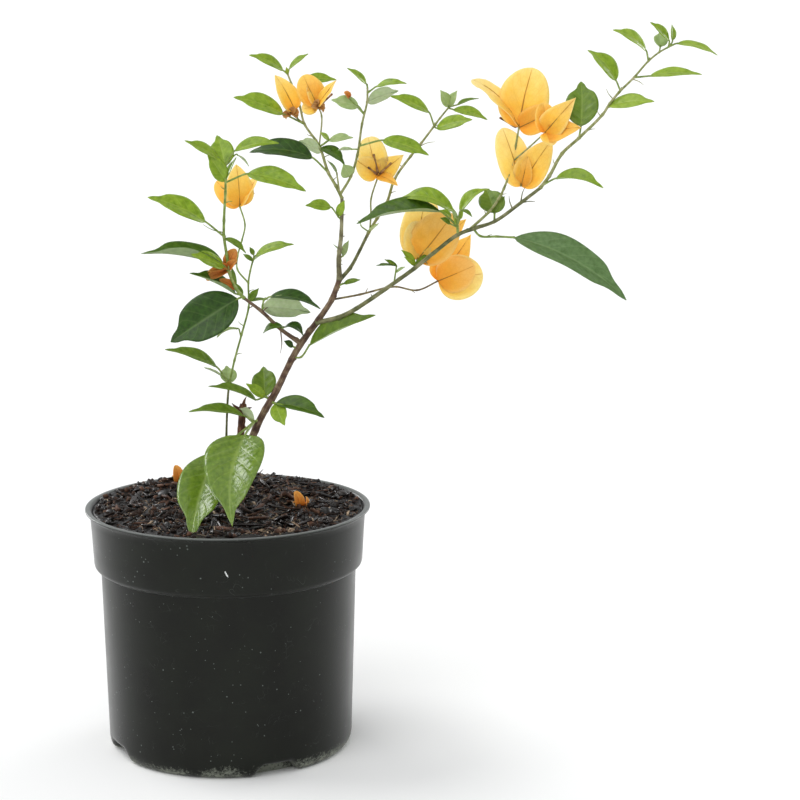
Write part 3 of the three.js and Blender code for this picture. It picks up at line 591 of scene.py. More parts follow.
# The limbs: a leaning woody trunk from the compost, the stump of an older shoot that was cut off,
# a slender second stem, and four boughs. Their bark is thin and ridged, with a raised ring at
# each old node and the scars of fallen leaves. A step is [length, clock, lean].
FOOT = 158
LIMBS = dict(
  trunk=dict(
    start=[5, 8, FOOT],
    steps=[
      [34.5, 10, 3], [23.5, 19, 4], [15.5, 26, 6], [16, 30, 5], [23, 26, 4],
      [16, 31, 7], [17, 36, 7], [16, 33, 4], [14.5, 21, 4],
    ],
    radius=[2.8, 1.8], flare=2.6, bark="brown", scars=16,
    thorns=[[3.6, 3.5, 300, 10], [6.3, 3, 60, 0]],
  ),
  old_stump=dict(
    on="trunk", at=0.36,
    steps=[[18, 358, -5], [25, 5, -6], [16, 5, -6]],
    radius=[2.4, 2.6], bark="stump", scars=9, torn=2.5,
    thorns=[[2.72, 9.5, 306, 10, 2.1], [2.86, 8.5, 12, 0, 1.9], [2.72, 7, 62, -10, 2.0],
            [2.6, 4.5, 330, 40, 1.8]],
  ),
  slender_stem=dict(
    start=[-2.5, 16, FOOT],
    steps=[[25.5, 1, 1], [24.5, 1, 1], [26, 3, 2], [8, 6, 0]],
    radius=[0.9, 0.75], flare=0.5, bark="green", scars=3,
    thorns=[[1.4, 5.5, 44, 0]],
  ),
  left_bough=dict(
    on="trunk", at=5.8,
    steps=[[17.5, 308, 13], [17, 316, 17], [16, 311, 18]],
    radius=[1.45, 1.05], bark="brown", scars=6,
    thorns=[[1, 16.5, 175, 0], [2, 5, 40, 10], [2.5, 3.5, 230, 0]],
  ),
  centre_bough=dict(
    on="trunk", at=9,
    steps=[[14, 359, 8], [16.5, 6, 11], [20, 2, 9], [4.5, 1, 12]],
    radius=[1.65, 1.1], bark="grey", scars=8,
    thorns=[[0.7, 2.6, 70, 0], [1.4, 2.6, 80, 0], [1.9, 2.8, 66, 5], [2.6, 2.4, 75, 0]],
  ),
  upper_right_bough=dict(
    on="trunk", at=8.95,
    steps=[[11, 43, -22], [14, 30, -21], [12.5, 27, -18]],
    radius=[1.2, 1.05], bark="green", scars=3,
  ),
  right_bough=dict(
    on="trunk", at=6.85,
    steps=[
      [16, 74, 17], [14, 61, 17], [24.5, 54, 17], [24, 53, 12], [17.5, 50, 10],
      [19, 52, 9], [12.5, 68, 9], [12.5, 70, 9], [22, 53, 11], [15, 51, 12],
    ],
    radius=[1.6, 1.1], bark="green", scars=12,
    thorns=[[8.65, 9, 339, 5], [8.95, 10.7, 9, 5], [8.95, 9.5, 78, 15], [2.6, 3, 320, 0],
            [4.5, 3, 140, 0]],
  ),
)
FLARE_HEIGHT = 7
LIMB_SIDES = 20
RING_GAP = 0.9
LIMB_SEED = 100


def bark_finish(name, dark, main, light, ridge):
    """Thin young bark: streaks along the limb, 5 mm patches of lighter cork, and a skin with
    ridges of 0.9 mm, whose height is given in millimetres."""
    material, tree, shader = finish(name, Specular_IOR_Level=0.3)
    place = node(tree, "TexCoord")
    on_limb = (place, "Object")
    stretch = node(tree, "Mapping", {"Vector": (place, "UV"), "Scale": (9, 2.5, 1)})
    streak = node(tree, "TexNoise", {"Vector": stretch, "Scale": 4, "Detail": 5})
    patch = node(tree, "TexNoise", {"Vector": on_limb, "Scale": patches(5.263), "Detail": 4})
    both = node(tree, "Mix", {"Factor": 0.5, "A": streak, "B": patch})
    tint = node(tree, "ValToRGB", [both], [(0.39, dark), (0.5, main), (0.61, light)])
    dull = node(tree, "MapRange", [patch, 0.0, 1.0, 0.5, 0.85])
    fine = node(tree, "TexNoise", {"Vector": on_limb, "Scale": patches(0.909), "Detail": 4})
    relief = node(tree, "Mix", {"Factor": 0.5, "A": streak, "B": fine})
    dress(tree, shader, tint, relief, 0.6, ridge, dull)
    return material


BARKS = dict(
    brown=bark_finish("reddish brown bark", "#38271e", "#62493b", "#8d7b60", 0.4),
    stump=bark_finish("dead maroon bark", "#371c18", "#5f392b", "#87664a", 0.6),
    grey=bark_finish("greyish brown bark", "#463d2c", "#757051", "#9a9775", 0.4),
    green=bark_finish("green and tan bark", "#42462a", "#666a42", "#918d6a", 0.3),
)


def length_of(nodes):
    """The length of the straight lines that join the nodes."""
    return sum((b - a).length for a, b in zip(nodes, nodes[1:]))


def off_node(nodes, t):
    """How far, in millimetres, a share of a limb's length lies from its nearest node."""
    last = len(nodes) - 1
    return abs(t * last - round(t * last)) * length_of(nodes) / last


def add_spike(bm, start, size, clock, lean, radius, slot=0, foot=0.6, bend=14):
    """A thorn or spur, which bends a little after its straight foot."""
    path = walk(start, [[size * foot, clock, lean], [size * (1 - foot), clock + bend, lean]])
    add_tube(bm, path, radius, 6, 6, slot)


limbs = {}
for number, (name, plan) in enumerate(LIMBS.items()):
    draw = random.Random(LIMB_SEED + number)
    start = node_of(limbs[plan["on"]], plan["at"]) if "on" in plan else plan["start"]
    nodes = limbs[name] = walk(start, plan["steps"])
    length = length_of(nodes)
    scars = [(draw.random(), math.tau * draw.random(), 0.18 + 0.26 * draw.random())
             for _ in range(plan["scars"])]
    flare = plan.get("flare", 0.5)
    torn = plan.get("torn", 0)
    shift = 50 * draw.random()

    def bark(t, turn):
        """The swelling of the bark at a share of the limb's length and a turn about it, and how
        far the torn end of a stump stands out there."""
        away = t * length
        thick = plan["radius"][0] + (plan["radius"][1] - plan["radius"][0]) * t
        spread = flare * math.exp(-away / FLARE_HEIGHT) / thick
        if "start" in plan:
            spread *= 1 + 0.35 * math.sin(3 * turn + 1)
        swell = 0.95 + spread + 0.08 * math.exp(-(off_node(nodes, t) / 1.6) ** 2)
        for where, side, rise in scars:
            aside = (turn - side + math.pi) % math.tau - math.pi
            swell += rise * math.exp(-((t - where) * length / 0.9) ** 2 - (aside / 0.5) ** 2)
        ridge = Vector((1.6 * math.cos(turn), 1.6 * math.sin(turn), away / 16 + shift))
        crumb = Vector((3.4 * math.cos(turn), 3.4 * math.sin(turn), away / 5 + shift))
        swell += 0.12 * noise.noise(ridge) + 0.07 * noise.noise(crumb)
        jag = math.cos(turn) ** 2 - 0.35 + 0.5 * noise.noise(crumb * 1.7)
        return swell, torn * jag * smooth_step((t - 0.9) / 0.1)

    bm = bmesh.new()
    bm.loops.layers.uv.new("UVMap")
    add_tube(bm, nodes, plan["radius"], LIMB_SIDES, round(length / RING_GAP), 0, bark,
             -0.9 if torn else 0.4)
    for at, size, clock, lean, *thick in plan.get("thorns", []):
        add_spike(bm, node_of(nodes, at), size, clock, lean, (thick[0] if thick else 0.55, 0.16))
    limb = piece_of(name + "_bark", bm, [BARKS[plan["bark"]]])
    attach(limb, "root")
    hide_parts(name)

# The foliage: sprays of pointed, waxy leaves on thin green shoots, with papery bracts round the
# small tubular flowers at some of their ends. Each spray grows from the tip or side of a limb.
# Of a leaf or bract, blade is [length, clock, lean], and stalk is [length, clock], with a lean
# where it isn't the blade's, or 0 for none. face rolls the upper side to the front (0 edge-on, 90
# full face, below 0 underside), width and bow are shares of the length, fold is in degrees, point
# makes the tip more pointed, curve bends the midrib to the left, and heel broadens the foot. A
# spur is [node, length, clock, lean], and a bud is [node, size].
Blade = namedtuple("Blade", "node stalk blade face width bow tone fold point curve heel",
                   defaults=(None, 0, None, 0))
LEAF = dict(swell=0.7, fade=0.95, fold=20, drawn=0.35, wave=0.009, wall=0.34)
BRACT = dict(swell=0.4, fade=0.52, fold=9, drawn=0.0, wave=0.016, wall=0.2)
QUILTS = dict(olive=0.12, dark=0.035, grey=0.03)
SPRAYS = dict(
  foot_spray_front=dict(
    on="trunk", at=2.5,
    steps=[[4.5, 255, 35]],
    radius=[0.9, 0.8],
    leaves=[
      [1, [29.5, 236, 80], [75, 186, 51], 84, 0.535, 0.03, "olive", 18, 0.25, 0.07, 0.18],
      [1, [32, 234, 32], [77, 198, 55], 78, 0.43, 0.03, "olive", 24, 0, 0.04, -0.15],
      [1, [8.5, 300], [36.5, 276, 8], 15, 0.42, 0.07, "mid", 32],
      [1, 0, [17, 302, -40], -50, 0.6, 0.03, "pale"],
    ],
  ),
  foot_spray_left=dict(
    on="trunk", at=3.5,
    steps=[[4.5, 300, -15]],
    radius=[0.9, 0.8],
    leaves=[
      [1, [6.5, 251], [33.5, 289, 12], 14, 0.42, 0.06, "mid", 30],
      [1, 0, [24.5, 353, -45], 88, 0.72, 0.03, "mid"],
      [1, 0, [16, 307, 12], 56, 0.5, 0.04, "bright"],
    ],
  ),
  foot_spray_right=dict(
    on="trunk", at=3.45,
    steps=[[4.5, 110, 35]],
    radius=[0.9, 0.8],
    leaves=[
      [1, 0, [34, 105, 6], 34, 0.5, 0.07, "deep", 38],
      [1, 0, [18, 152, 38], 82, 0.66, 0.03, "bright"],
    ],
  ),
  slender_spray=dict(
    on="slender_stem", at=4,
    spurs=[[2.3, 5, 300, 0], [4.4, 4, 60, 0], [1.2, 4, 70, 0]],
    steps=[[18.5, 13, 3], [18, 16, 3], [19, 15, 0], [6.5, 1, 0], [9.5, 359, -6], [8, 9, -7], [7, 15, 0]],
    radius=[0.75, 0.6],
    leaves=[
      [0.1, [15, 326], [37, 292, 15], 22, 0.4, 0.07, "mid", 30],
      [0.1, [4.5, 322], [19, 291, -30], -12, 0.4, 0.03, "pale"],
      [0.1, 0, [15, 345, -45], 70, 0.8, 0, "pale"],
      [1.9, [6, 344], [16.5, 246, -10], -18, 0.55, 0.13, "lime"],
      [3.6, 0, [11.5, 37, 10], 60, 0.5, 0.03, "mid"],
      [3.6, 0, [14, 81, 20], 15, 0.35, 0.04, "mid"],
      [7, [4, 26], [27.5, 72, 10], 28, 0.4, 0.08, "bright"],
      [7, [4, 10], [6, 334, 0], 60, 0.6, 0.03, "mid"],
      [7, 0, [11, 57, -25], -12, 0.45, 0.03, "pale"],
      [7, 0, [8, 305, -10], 40, 0.5, 0.03, "mid"],
    ],
    twigs=[
      dict(
        at=5,
        steps=[[12.5, 319, -23], [9, 0, -26], [11.5, 15, -21], [10.5, 11, -22], [13.5, 343, -21]],
        radius=[0.6, 0.55],
        bracts=[
          [5, 0, [28, 356, 0], 80, 0.72, 0.05, "gold", 16, 0.3],
          [5, 0, [23.5, 315, -15], 75, 0.7, 0.04, "amber"],
          [5, 0, [24, 33, -10], 42, 0.56, 0.04, "pale_gold", 26, 0.3],
        ],
      ),
    ],
  ),
  left_spray=dict(
    on="left_bough", at=3,
    spurs=[[4.25, 14.5, 285, 5], [5.6, 5, 70, 0], [2.6, 4, 60, 0], [6.2, 4, 300, 10]],
    steps=[
      [9.5, 323, 18], [12, 342, 15], [11.5, 353, 10], [12, 353, 5],
      [10.5, 1, 5], [18.5, 4, 6], [7, 2, 0], [9.5, 359, 0],
    ],
    radius=[1.15, 0.7],
    leaves=[
      [0.15, [3.5, 249], [52, 238, 10], 66, 0.62, 0.02, "dark", 22],
      [0.3, [4, 288], [34.5, 298, 20], 15, 0.46, 0.04, "deep", 44],
      [0.2, 0, [10, 332, -15], 40, 0.5, 0.03, "mid"],
      [1.5, [9.5, 335], [55, 281, 10], 12, 0.48, 0.07, "deep", 46],
      [1.8, [9, 333], [27, 296, 35], 35, 0.5, 0.03, "bright"],
      [1, 0, [15, 351, 5], 60, 0.25, 0.03, "mid"],
      [4, [15.5, 311], [40.5, 295, 12], 32, 0.46, 0.07, "bright"],
      [3.9, 0, [17.5, 122, 15], 30, 0.42, 0.09, "mid", 30],
      [6.9, [16, 67], [40.5, 105, 15], 36, 0.46, 0.08, "bright", 24],
      [7, 0, [22.5, 330, 20], 62, 0.55, 0.03, "bright"],
      [7.1, 0, [16.5, 25, -20], 25, 0.5, 0.03, "bright"],
      [8, [7, 326], [25.5, 300, 20], 30, 0.45, 0.04, "bright"],
      [8, 0, [23, 343, -30], 82, 0.7, 0.02, "bright"],
      [8, [12, 32], [29, 80, 5], 38, 0.42, 0.08, "bright", 30],
      [8, [11, 43], [12, 136, -20], -20, 0.5, 0.04, "pale"],
    ],
    bracts=[
      [2.1, 0, [16, 247, 5], 64, 0.42, 0.1, "rust", 34, -0.1],
      [2.3, 0, [12.5, 22, -10], 70, 0.85, 0.12, "rust", 30, 0.1],
      [1, 0, [12.5, 302, 20], 60, 0.55, 0.05, "rust", 34, 0.1],
      [2.2, 0, [14, 262, 15], 50, 0.4, 0.12, "rust", 36, 0.2],
      [2.2, 0, [9, 45, 20], 64, 0.75, 0.14, "rust", 34, 0.2],
      [2.2, 0, [10, 295, 30], 60, 0.45, 0.14, "rust", 34, 0.2],
      [7.3, [10.9, 323, 12], [4.6, 325, 12], 60, 1.1, 0.14, "rust", 40],
    ],
  ),
  left_inner_spray=dict(
    on="left_bough", at=2,
    steps=[[4, 0, -8], [4, 12, 5]],
    radius=[0.65, 0.6],
    leaves=[
      [1, 0, [32, 99, -10], -62, 0.62, 0.02, "pale"],
      [2, [5, 60], [34, 103, 5], 24, 0.45, 0.1, "dark", 26],
    ],
  ),
  left_low_spray=dict(
    on="left_bough", at=1,
    steps=[[3.5, 60, 35]],
    radius=[0.65, 0.6],
    leaves=[
      [1, 0, [14.5, 112, 15], 24, 0.65, 0.3, "dark"],
      [1, 0, [14.5, 256, 15], 22, 0.6, 0.2, "deep"],
    ],
  ),
  trunk_leaf_left=dict(
    on="trunk", at=5.5,
    steps=[[4, 308, 30]],
    radius=[0.6, 0.55],
    leaves=[[1, 0, [8.5, 308, 30], 45, 0.6, 0.03, "dark"]],
  ),
  trunk_leaf_right=dict(
    on="trunk", at=5.1,
    steps=[[6.5, 82, 31], [11, 34, 16]],
    radius=[0.7, 0.6],
    leaves=[[2, 0, [49, 64, 10], 26, 0.46, 0.03, "mid", 44]],
  ),
  fork_leaf=dict(
    on="trunk", at=8.65,
    steps=[[5, 62, 15]],
    radius=[0.65, 0.6],
    leaves=[[1, 0, [12, 75, 15], 30, 0.45, 0.03, "mid"]],
  ),
  centre_side_spray=dict(
    on="centre_bough", at=1,
    steps=[[5, 60, -50]],
    radius=[0.6, 0.55],
    leaves=[
      [1, 0, [11, 20, -25], -50, 0.5, 0.03, "mid"],
      [1, 0, [10, 318, -20], -20, 0.4, 0.03, "mid"],
    ],
  ),
  upper_spray=dict(
    on="centre_bough", at=4, shoot="tan",
    spurs=[[1.4, 4, 40, 0], [2.6, 5, 60, 0], [4.3, 4, 280, 0], [5.6, 4, 50, 0]],
    steps=[
      [9, 333, -13], [10, 329, -18], [17, 341, -21], [6.5, 329, -27],
      [14.5, 323, -29], [14.5, 343, -34], [17, 338, -28], [6.5, 338, -18],
    ],
    radius=[1.1, 0.6],
    leaves=[
      [2, [14, 314], [41, 275, 0], 36, 0.5, 0.13, "dark", 26],
      [3.1, 0, [20.5, 123, 20], 42, 0.5, 0.15, "deep"],
      [2.9, 0, [19.5, 290, -35], -50, 0.6, 0.03, "pale"],
      [3.2, [9, 52], [18.5, 82, 30], 36, 0.46, 0.05, "pale"],
      [3.2, [8, 53], [8, 311, 10], 40, 0.6, 0.03, "lime"],
      [5, [15.5, 297], [34, 289, 8], 36, 0.5, 0.06, "bright"],
      [6.5, [9, 31], [23, 86, -15], 40, 0.42, 0.07, "bright"],
      [8, [4, 313], [25, 295, 12], 34, 0.42, 0.08, "bright"],
      [8, [4, 14], [16, 52, -10], 30, 0.4, 0.06, "bright"],
      [8, 0, [5.5, 350, 20], 60, 0.5, 0.03, "lime"],
    ],
    twigs=[
      dict(
        at=0.3,
        steps=[[14.5, 30, 15], [15.5, 17, 19], [22, 9, 21], [15.5, 13, 19], [9.5, 2, 19]],
        radius=[0.9, 0.6],
        leaves=[
          [1, 0, [12.5, 331, 40], 85, 0.8, 0.03, "pale"],
          [2.2, [3.5, 268], [10.5, 266, -20], -30, 0.5, 0.03, "pale"],
          [2.3, [16, 75], [31.5, 107, 12], 40, 0.46, 0.06, "bright"],
          [3.4, [6.5, 327], [18, 284, 10], 52, 0.6, 0.05, "pale"],
          [4, 0, [23, 72, -25], -50, 0.55, 0.04, "pale"],
          [4.6, [7.5, 52], [20.5, 83, 20], 30, 0.4, 0.1, "bright"],
          [5, [2.5, 346], [16, 310, 10], 32, 0.45, 0.08, "bright"],
        ],
        bracts=[[3.4, [14.5, 318, 10], [5, 322, 10], 60, 1.0, 0.14, "rust", 40]],
      ),
      dict(
        at=0.4,
        steps=[[13.5, 352, -10]],
        radius=[0.6, 0.5],
        leaves=[[1, 0, [10, 323, -10], 20, 0.5, 0.03, "mid"]],
      ),
      dict(
        at=5,
        steps=[[11.5, 309, 5]],
        radius=[0.55, 0.5],
        buds=[[1, 3.6]],
        bracts=[[0.5, [6, 342], [26, 331, 5], 72, 0.6, 0.05, "gold", 30, 0.35]],
      ),
      dict(
        at=3.3,
        steps=[[19.5, 5, 4], [7, 340, -5]],
        radius=[0.55, 0.5],
        buds=[[1.9, 3.2]],
        bracts=[
          [2, 0, [22, 334, -10], 80, 0.8, 0.05, "amber"],
          [2, 0, [21, 36, 10], 38, 0.5, 0.04, "gold", 26, 0.5],
          [2, 0, [11, 258, -12], 70, 1.0, 0.06, "gold", 22],
          [2, 0, [19, 348, -20], 76, 0.7, 0.05, "gold", 22],
        ],
      ),
    ],
  ),
  centre_pair=dict(
    on="centre_bough", at=2.45,
    steps=[[4, 320, 25]],
    radius=[0.6, 0.55],
    leaves=[
      [1, [8, 325], [17, 275, 15], 46, 0.55, 0.08, "bright"],
      [1, 0, [12, 22, 15], 66, 0.5, 0.03, "bright"],
    ],
  ),
  upper_right_spray=dict(
    on="upper_right_bough", at=3, shoot="tan",
    spurs=[[1.5, 4, 320, 0], [2.4, 4.5, 60, 0], [4.7, 12, 65, 5], [3.5, 4, 310, 0]],
    steps=[
      [12, 32, -20], [12, 33, -19], [17, 19, -17], [19, 36, -18],
      [11.5, 40, -20], [14.5, 38, -16], [7, 38, -25], [10, 40, -18],
    ],
    radius=[1.1, 0.6],
    leaves=[
      [0.1, [6, 307], [5.5, 331, 10], -10, 0.5, 0.03, "lime"],
      [0.1, 0, [9.5, 46, 20], -30, 0.5, 0.03, "lime"],
      [6, [10, 340], [28.5, 293, 10], 34, 0.42, 0.07, "bright"],
      [6, [2, 134], [26, 75, 20], 44, 0.45, 0.04, "bright"],
      [8, 0, [13.6, 333, 20], 60, 0.62, 0.03, "pale"],
      [8, 0, [12.6, 25, 15], 50, 0.6, 0.03, "pale"],
      [8, [6, 77], [16, 75, -20], 24, 0.35, 0.07, "mid"],
      [7.9, [3.5, 106], [24, 106, 10], 34, 0.45, 0.1, "bright"],
    ],
    twigs=[
      dict(
        at=0.2,
        steps=[[13, 4, 27], [11.5, 1, 26], [17, 17, 17]],
        radius=[0.6, 0.55], inner=1,
        bracts=[
          [3, 0, [26, 345, -12], 80, 0.75, 0.05, "pale_gold", 9, -0.1],
          [3, 0, [21.5, 51, -5], 72, 0.75, 0.05, "gold", 16, 0.6],
          [3, 0, [17.5, 307, 15], 76, 0.9, 0.05, "gold"],
          [3, 0, [18, 113, 40], 50, 0.5, 0.06, "amber", 24, 0.4],
        ],
      ),
    ],
  ),
  low_flower=dict(
    on="trunk", at=8, shoot="brown",
    spurs=[[1.2, 4, 20, 0], [3.6, 5, 113, 0]],
    steps=[[20, 82, -18], [16.5, 77, -11], [8, 85, -14], [14.5, 101, -12], [15, 67, -8]],
    radius=[0.7, 0.55],
    bracts=[
      [5, 0, [27, 65, 12], 82, 0.92, 0.04, "full_gold"],
      [5, 0, [30.5, 82, -8], 80, 1.0, 0.04, "pale_gold"],
      [5, 0, [42, 38, -30], 72, 0.55, 0.05, "amber", 12, 0.6],
    ],
  ),
  right_inner_spray=dict(
    on="right_bough", at=4,
    steps=[[9.5, 24, -57]],
    radius=[0.6, 0.55],
    leaves=[
      [0.3, 0, [14, 318, -15], 40, 0.4, 0.07, "bright"],
      [0.3, 0, [10, 312, 20], 40, 0.4, 0.04, "bright"],
      [0.3, 0, [16, 56, -25], 45, 0.35, 0.03, "mid"],
    ],
    bracts=[
      [1, 0, [37.5, 38, -6], 82, 0.82, 0.04, "full_gold", 12],
      [1, 0, [45, 53, -26], 76, 0.5, 0.04, "amber", 12, 0.6],
      # These two bracts take the pale golden tone partly as painted light: a paler colour lifts them
      # where the bracts and leaves about them shade them.
      [1, 0, [44, 9, -22], 76, 0.6, 0.04, "pale_gold", 12],
      [1, 0, [25, 357, -12], 76, 0.8, 0.04, "pale_gold", 12],
    ],
  ),
  right_low_leaf=dict(
    on="right_bough", at=3.3,
    steps=[[11.5, 8, 5]],
    radius=[0.6, 0.5],
    leaves=[
      [1, 0, [15, 276, 30], 6, 0.4, 0.02, "deep"],
      [1, 0, [9, 300, 10], 40, 0.4, 0.05, "mid"],
      [0.6, 0, [8, 55, 20], 30, 0.4, 0.05, "pale"],
    ],
  ),
  right_mid_spray=dict(
    on="right_bough", at=6,
    steps=[[6, 355, 5]],
    radius=[0.9, 0.8],
    leaves=[
      [0.9, [15, 312], [54, 262, 5], 16, 0.42, 0.06, "deep", 40],
      [1, [9.5, 345], [38, 279, -12], 34, 0.42, 0.2, "bright", 26],
      [1, [8.5, 12], [24.5, 52, -10], 32, 0.45, 0.2, "bright", 26],
      [0.8, [6, 300], [9, 304, 30], 40, 0.5, 0.04, "mid"],
      [1, [13.5, 10], [10, 118, 35], 30, 0.45, 0.13, "mid"],
      [1, 0, [13, 345, 15], 55, 0.3, 0.03, "lime"],
      [1, [5, 20], [8.5, 12, 25], 60, 0.4, 0.04, "lime"],
      [1, [6, 355], [7.5, 330, 30], 60, 0.4, 0.04, "pale"],
      [0.9, [7, 320, 20], [12, 312, 35], 30, 0.55, 0.12, "bright", 34],
    ],
  ),
  right_mid_leaf=dict(
    on="right_bough", at=8,
    steps=[[9, 5, -58]],
    radius=[0.75, 0.7],
    leaves=[
      [1, 0, [20.5, 340, -42], 86, 0.85, 0.02, "mid"],
      [1, 0, [13, 32, -20], 70, 0.6, 0.03, "mid"],
    ],
  ),
  long_leaf=dict(
    on="right_bough", at=6.85,
    spurs=[[1.4, 4, 60, 0]],
    steps=[[6.5, 135, 17], [11, 90, 16], [11.5, 91, 16]],
    radius=[0.75, 0.7],
    leaves=[[3, 0, [82, 118, 15], 40, 0.34, 0.08, "grey", 24]],
  ),
  flower_shoot=dict(
    on="right_bough", at=6.6, shoot="tan",
    spurs=[[0.8, 4, 340, 0], [2.4, 4, 70, 0]],
    steps=[[18, 48, -8], [10, 38, -18], [7.5, 28, -16], [19.5, 20, -18], [10, 9, -12], [11.5, 10, -10]],
    radius=[0.95, 0.6],
    bracts=[
      [6, 0, [39.5, 13, -10], 82, 0.85, 0.04, "gold"],
      [6, 0, [44, 315, -15], 24, 0.46, 0.12, "pale_gold", 9, 0, 0, -0.45],
      [6, 0, [25, 62, 10], 70, 0.75, 0.05, "amber"],
    ],
    twigs=[
      dict(
        at=4,
        steps=[[17, 45, 36], [16.5, 43, 37]],
        radius=[0.55, 0.5],
        bracts=[
          [2, 0, [30, 40, 12], 78, 0.64, 0.05, "gold", 26, 0.6],
          [2, 0, [24, 80, 20], 72, 0.72, 0.05, "amber", 22, 0.5],
          [2, 0, [19, 356, -10], 74, 0.8, 0.05, "amber", 22],
          [2, 0, [11, 144, 35], 70, 1.1, 0.1, "gold", 20],
        ],
      ),
      dict(
        at=4,
        steps=[[8.5, 152, 7], [9, 174, 13]],
        radius=[0.55, 0.5],
        bracts=[
          [2, 0, [39.5, 342, -12], 76, 0.56, 0.04, "pale_gold"],
          [2, 0, [36, 34, -10], 78, 0.62, 0.04, "gold", 18, 0.3],
          [2, 0, [20, 12, -4], 76, 0.6, 0.05, "amber", 12, 0.4],
        ],
      ),
    ],
  ),
  tip_spray=dict(
    on="right_bough", at=10, shoot="tan",
    spurs=[[1.5, 4, 330, 0], [3.3, 6, 69, 5], [3.9, 5, 320, 0], [5.4, 8, 318, 5], [6.9, 8, 110, 5]],
    steps=[
      [9.5, 36, 6], [16.5, 28, 11], [14.5, 46, 8], [21, 44, 8], [8, 32, 7],
      [9, 38, 6], [13, 44, 9], [13.5, 40, 9], [8.5, 50, 7], [8, 60, 7],
    ],
    radius=[1.15, 0.5],
    leaves=[
      [0.2, [10, 60], [31, 100, 15], 30, 0.48, 0.12, "bright", 46],
      [3, [8.5, 12], [32, 2, -32], 84, 0.7, 0.02, "mid", 16],
      [4.8, 0, [29.5, 83, 20], 38, 0.42, 0.06, "lime"],
      [6.1, [7, 338], [26.5, 317, -15], 44, 0.6, 0.1, "bright"],
      [7, [10, 84], [32, 88, 5], 34, 0.3, 0.05, "lime"],
      [8, [7, 346], [26, 301, 15], 36, 0.44, 0.1, "lime"],
      [9, [4, 15], [10.5, 359, -35], 70, 0.95, 0.03, "pale"],
      [9.6, [7.5, 65], [26, 106, 5], 28, 0.36, 0.09, "lime"],
      [9.8, [4, 7], [17, 313, 10], 34, 0.5, 0.07, "bright"],
      [10, [3.5, 21], [10, 358, -10], 44, 0.6, 0.05, "bright"],
    ],
    twigs=[dict(at=4.6, steps=[[17.5, 72, 5]], radius=[0.5, 0.45])],
  ),
)
FOLIAGE_SEED = 500

# Up to each length in millimetres, how many quads a blade has across and along.
BLADE_MESHES = ((15, 6, 8), (30, 10, 16), (math.inf, 14, 26))
# How round a blade's midrib is and how far its margin droops, as shares of its half width, how
# far its side veins lean forward, how many waves its margin has, its greatest twist in degrees,
# and the size and depth in millimetres of the crumples of a papery one.
MIDRIB_ROUND = 0.12
MARGIN_DROOP = 0.1
VEIN_SLANT = 0.24
MARGIN_WAVES = 1.7
TWIST = 8
CRUMPLE_SIZE = 9
CRUMPLE_DEPTH = 1.1

# The least lengths in millimetres of a leaf with a bud in its angle and of a blade whose midrib
# stands out.
BUDDED = 14
RIBBED = 16


def upper_side(along, clock, face):
    """The direction that a blade's upper side faces: the one nearer the sky, rolled to the front."""
    front = Vector((0, -1, 0))
    front = (front - along * front.dot(along)).normalized()
    sky = heading(clock + 90 if clock >= 180 else clock - 90, 0)
    sky = (sky - along * sky.dot(along) - front * sky.dot(front)).normalized()
    roll = math.radians(face)
    return sky * math.cos(roll) + front * math.sin(roll)


def add_blade(bm, base, row, cut, slot, draw):
    """A leaf or bract, one quad thick until its wall is given: its outline from cut, folded along
    a rounded midrib, quilted between its side veins, with a wavy margin. Gives four points of its
    midrib and the direction that its upper side faces."""
    papery = cut is BRACT
    length, clock, lean = row.blade
    fold = math.radians((cut["fold"] if row.fold is None else row.fold) + 6 * (draw.random() - 0.5))
    along = heading(clock, lean)
    upper = upper_side(along, clock, row.face)
    across = along.cross(upper)
    columns, rows = next(quads for longest, *quads in BLADE_MESHES if length < longest)
    fade = cut["fade"] + row.point
    foot = cut["swell"] - row.heel
    peak = foot / (foot + fade)
    widest = peak ** foot * (1 - peak) ** fade
    half_width = row.width * length / 2
    soft = MIDRIB_ROUND * half_width
    pairs = max(4, round(length / 8))
    sickle = 0.05 * (draw.random() - 0.5) if row.curve is None else row.curve
    twist = math.radians(2 * TWIST) * (draw.random() - 0.5)
    phase = math.tau * draw.random()
    wave = cut["wave"] * length
    quilt = QUILTS.get(row.tone, 0.05)
    where = Vector((99 * draw.random(), 99 * draw.random(), 0))

    def midrib(t):
        """The point of the midrib at a share of its length."""
        arch = 4 * length * t * (1 - t)
        return base + along * t * length + upper * row.bow * arch + across * sickle * arch

    grid = bmesh.ops.create_grid(bm, x_segments=columns, y_segments=rows, size=1, calc_uvs=True)
    for vert in grid["verts"]:
        side, v = vert.co.x, (vert.co.y + 1) / 2
        t = 0.5 - 0.5 * math.cos(math.pi * v) if papery else v
        swell = t ** foot * (1 - t) ** fade / widest
        swell *= 1 - cut["drawn"] * math.sin(math.pi * max(0, min(1, (t - 0.7) / 0.3))) ** 2
        half = max(0.3 if t < 0.5 else 0.1, swell * half_width)
        reach = side * half
        edge = abs(side)
        tangent = (along + upper * 4 * row.bow * (1 - 2 * t)).normalized()
        lift = (math.sqrt(reach ** 2 + soft ** 2) - soft) * math.sin(fold)
        lift -= MARGIN_DROOP * half * edge ** 3
        ripple = 0.6 + 0.9 * noise.noise(where + Vector((side, 3 * t, 0)))
        pillow = math.sin(math.pi * edge) * math.cos(math.tau * pairs * (t - VEIN_SLANT * edge))
        lift += quilt * ripple * half * pillow
        swing = math.sin(math.tau * MARGIN_WAVES * t + phase + 2 * side)
        lift += wave * edge ** 2 * math.sin(math.pi * t) * swing
        lift += reach * math.sin(twist * t)
        if papery:
            spot = where + Vector((reach, t * length, 0)) / CRUMPLE_SIZE
            lift += CRUMPLE_DEPTH * math.sin(math.pi * t) ** 0.5 * noise.noise(spot)
            lift += 0.4 * noise.noise(spot * 2.6)
        vert.co = midrib(t) + across * reach * math.cos(fold) + across.cross(tangent) * lift
    paint(grid["verts"], slot)
    return [midrib(t) for t in (0, 0.35, 0.7, 0.97)], upper


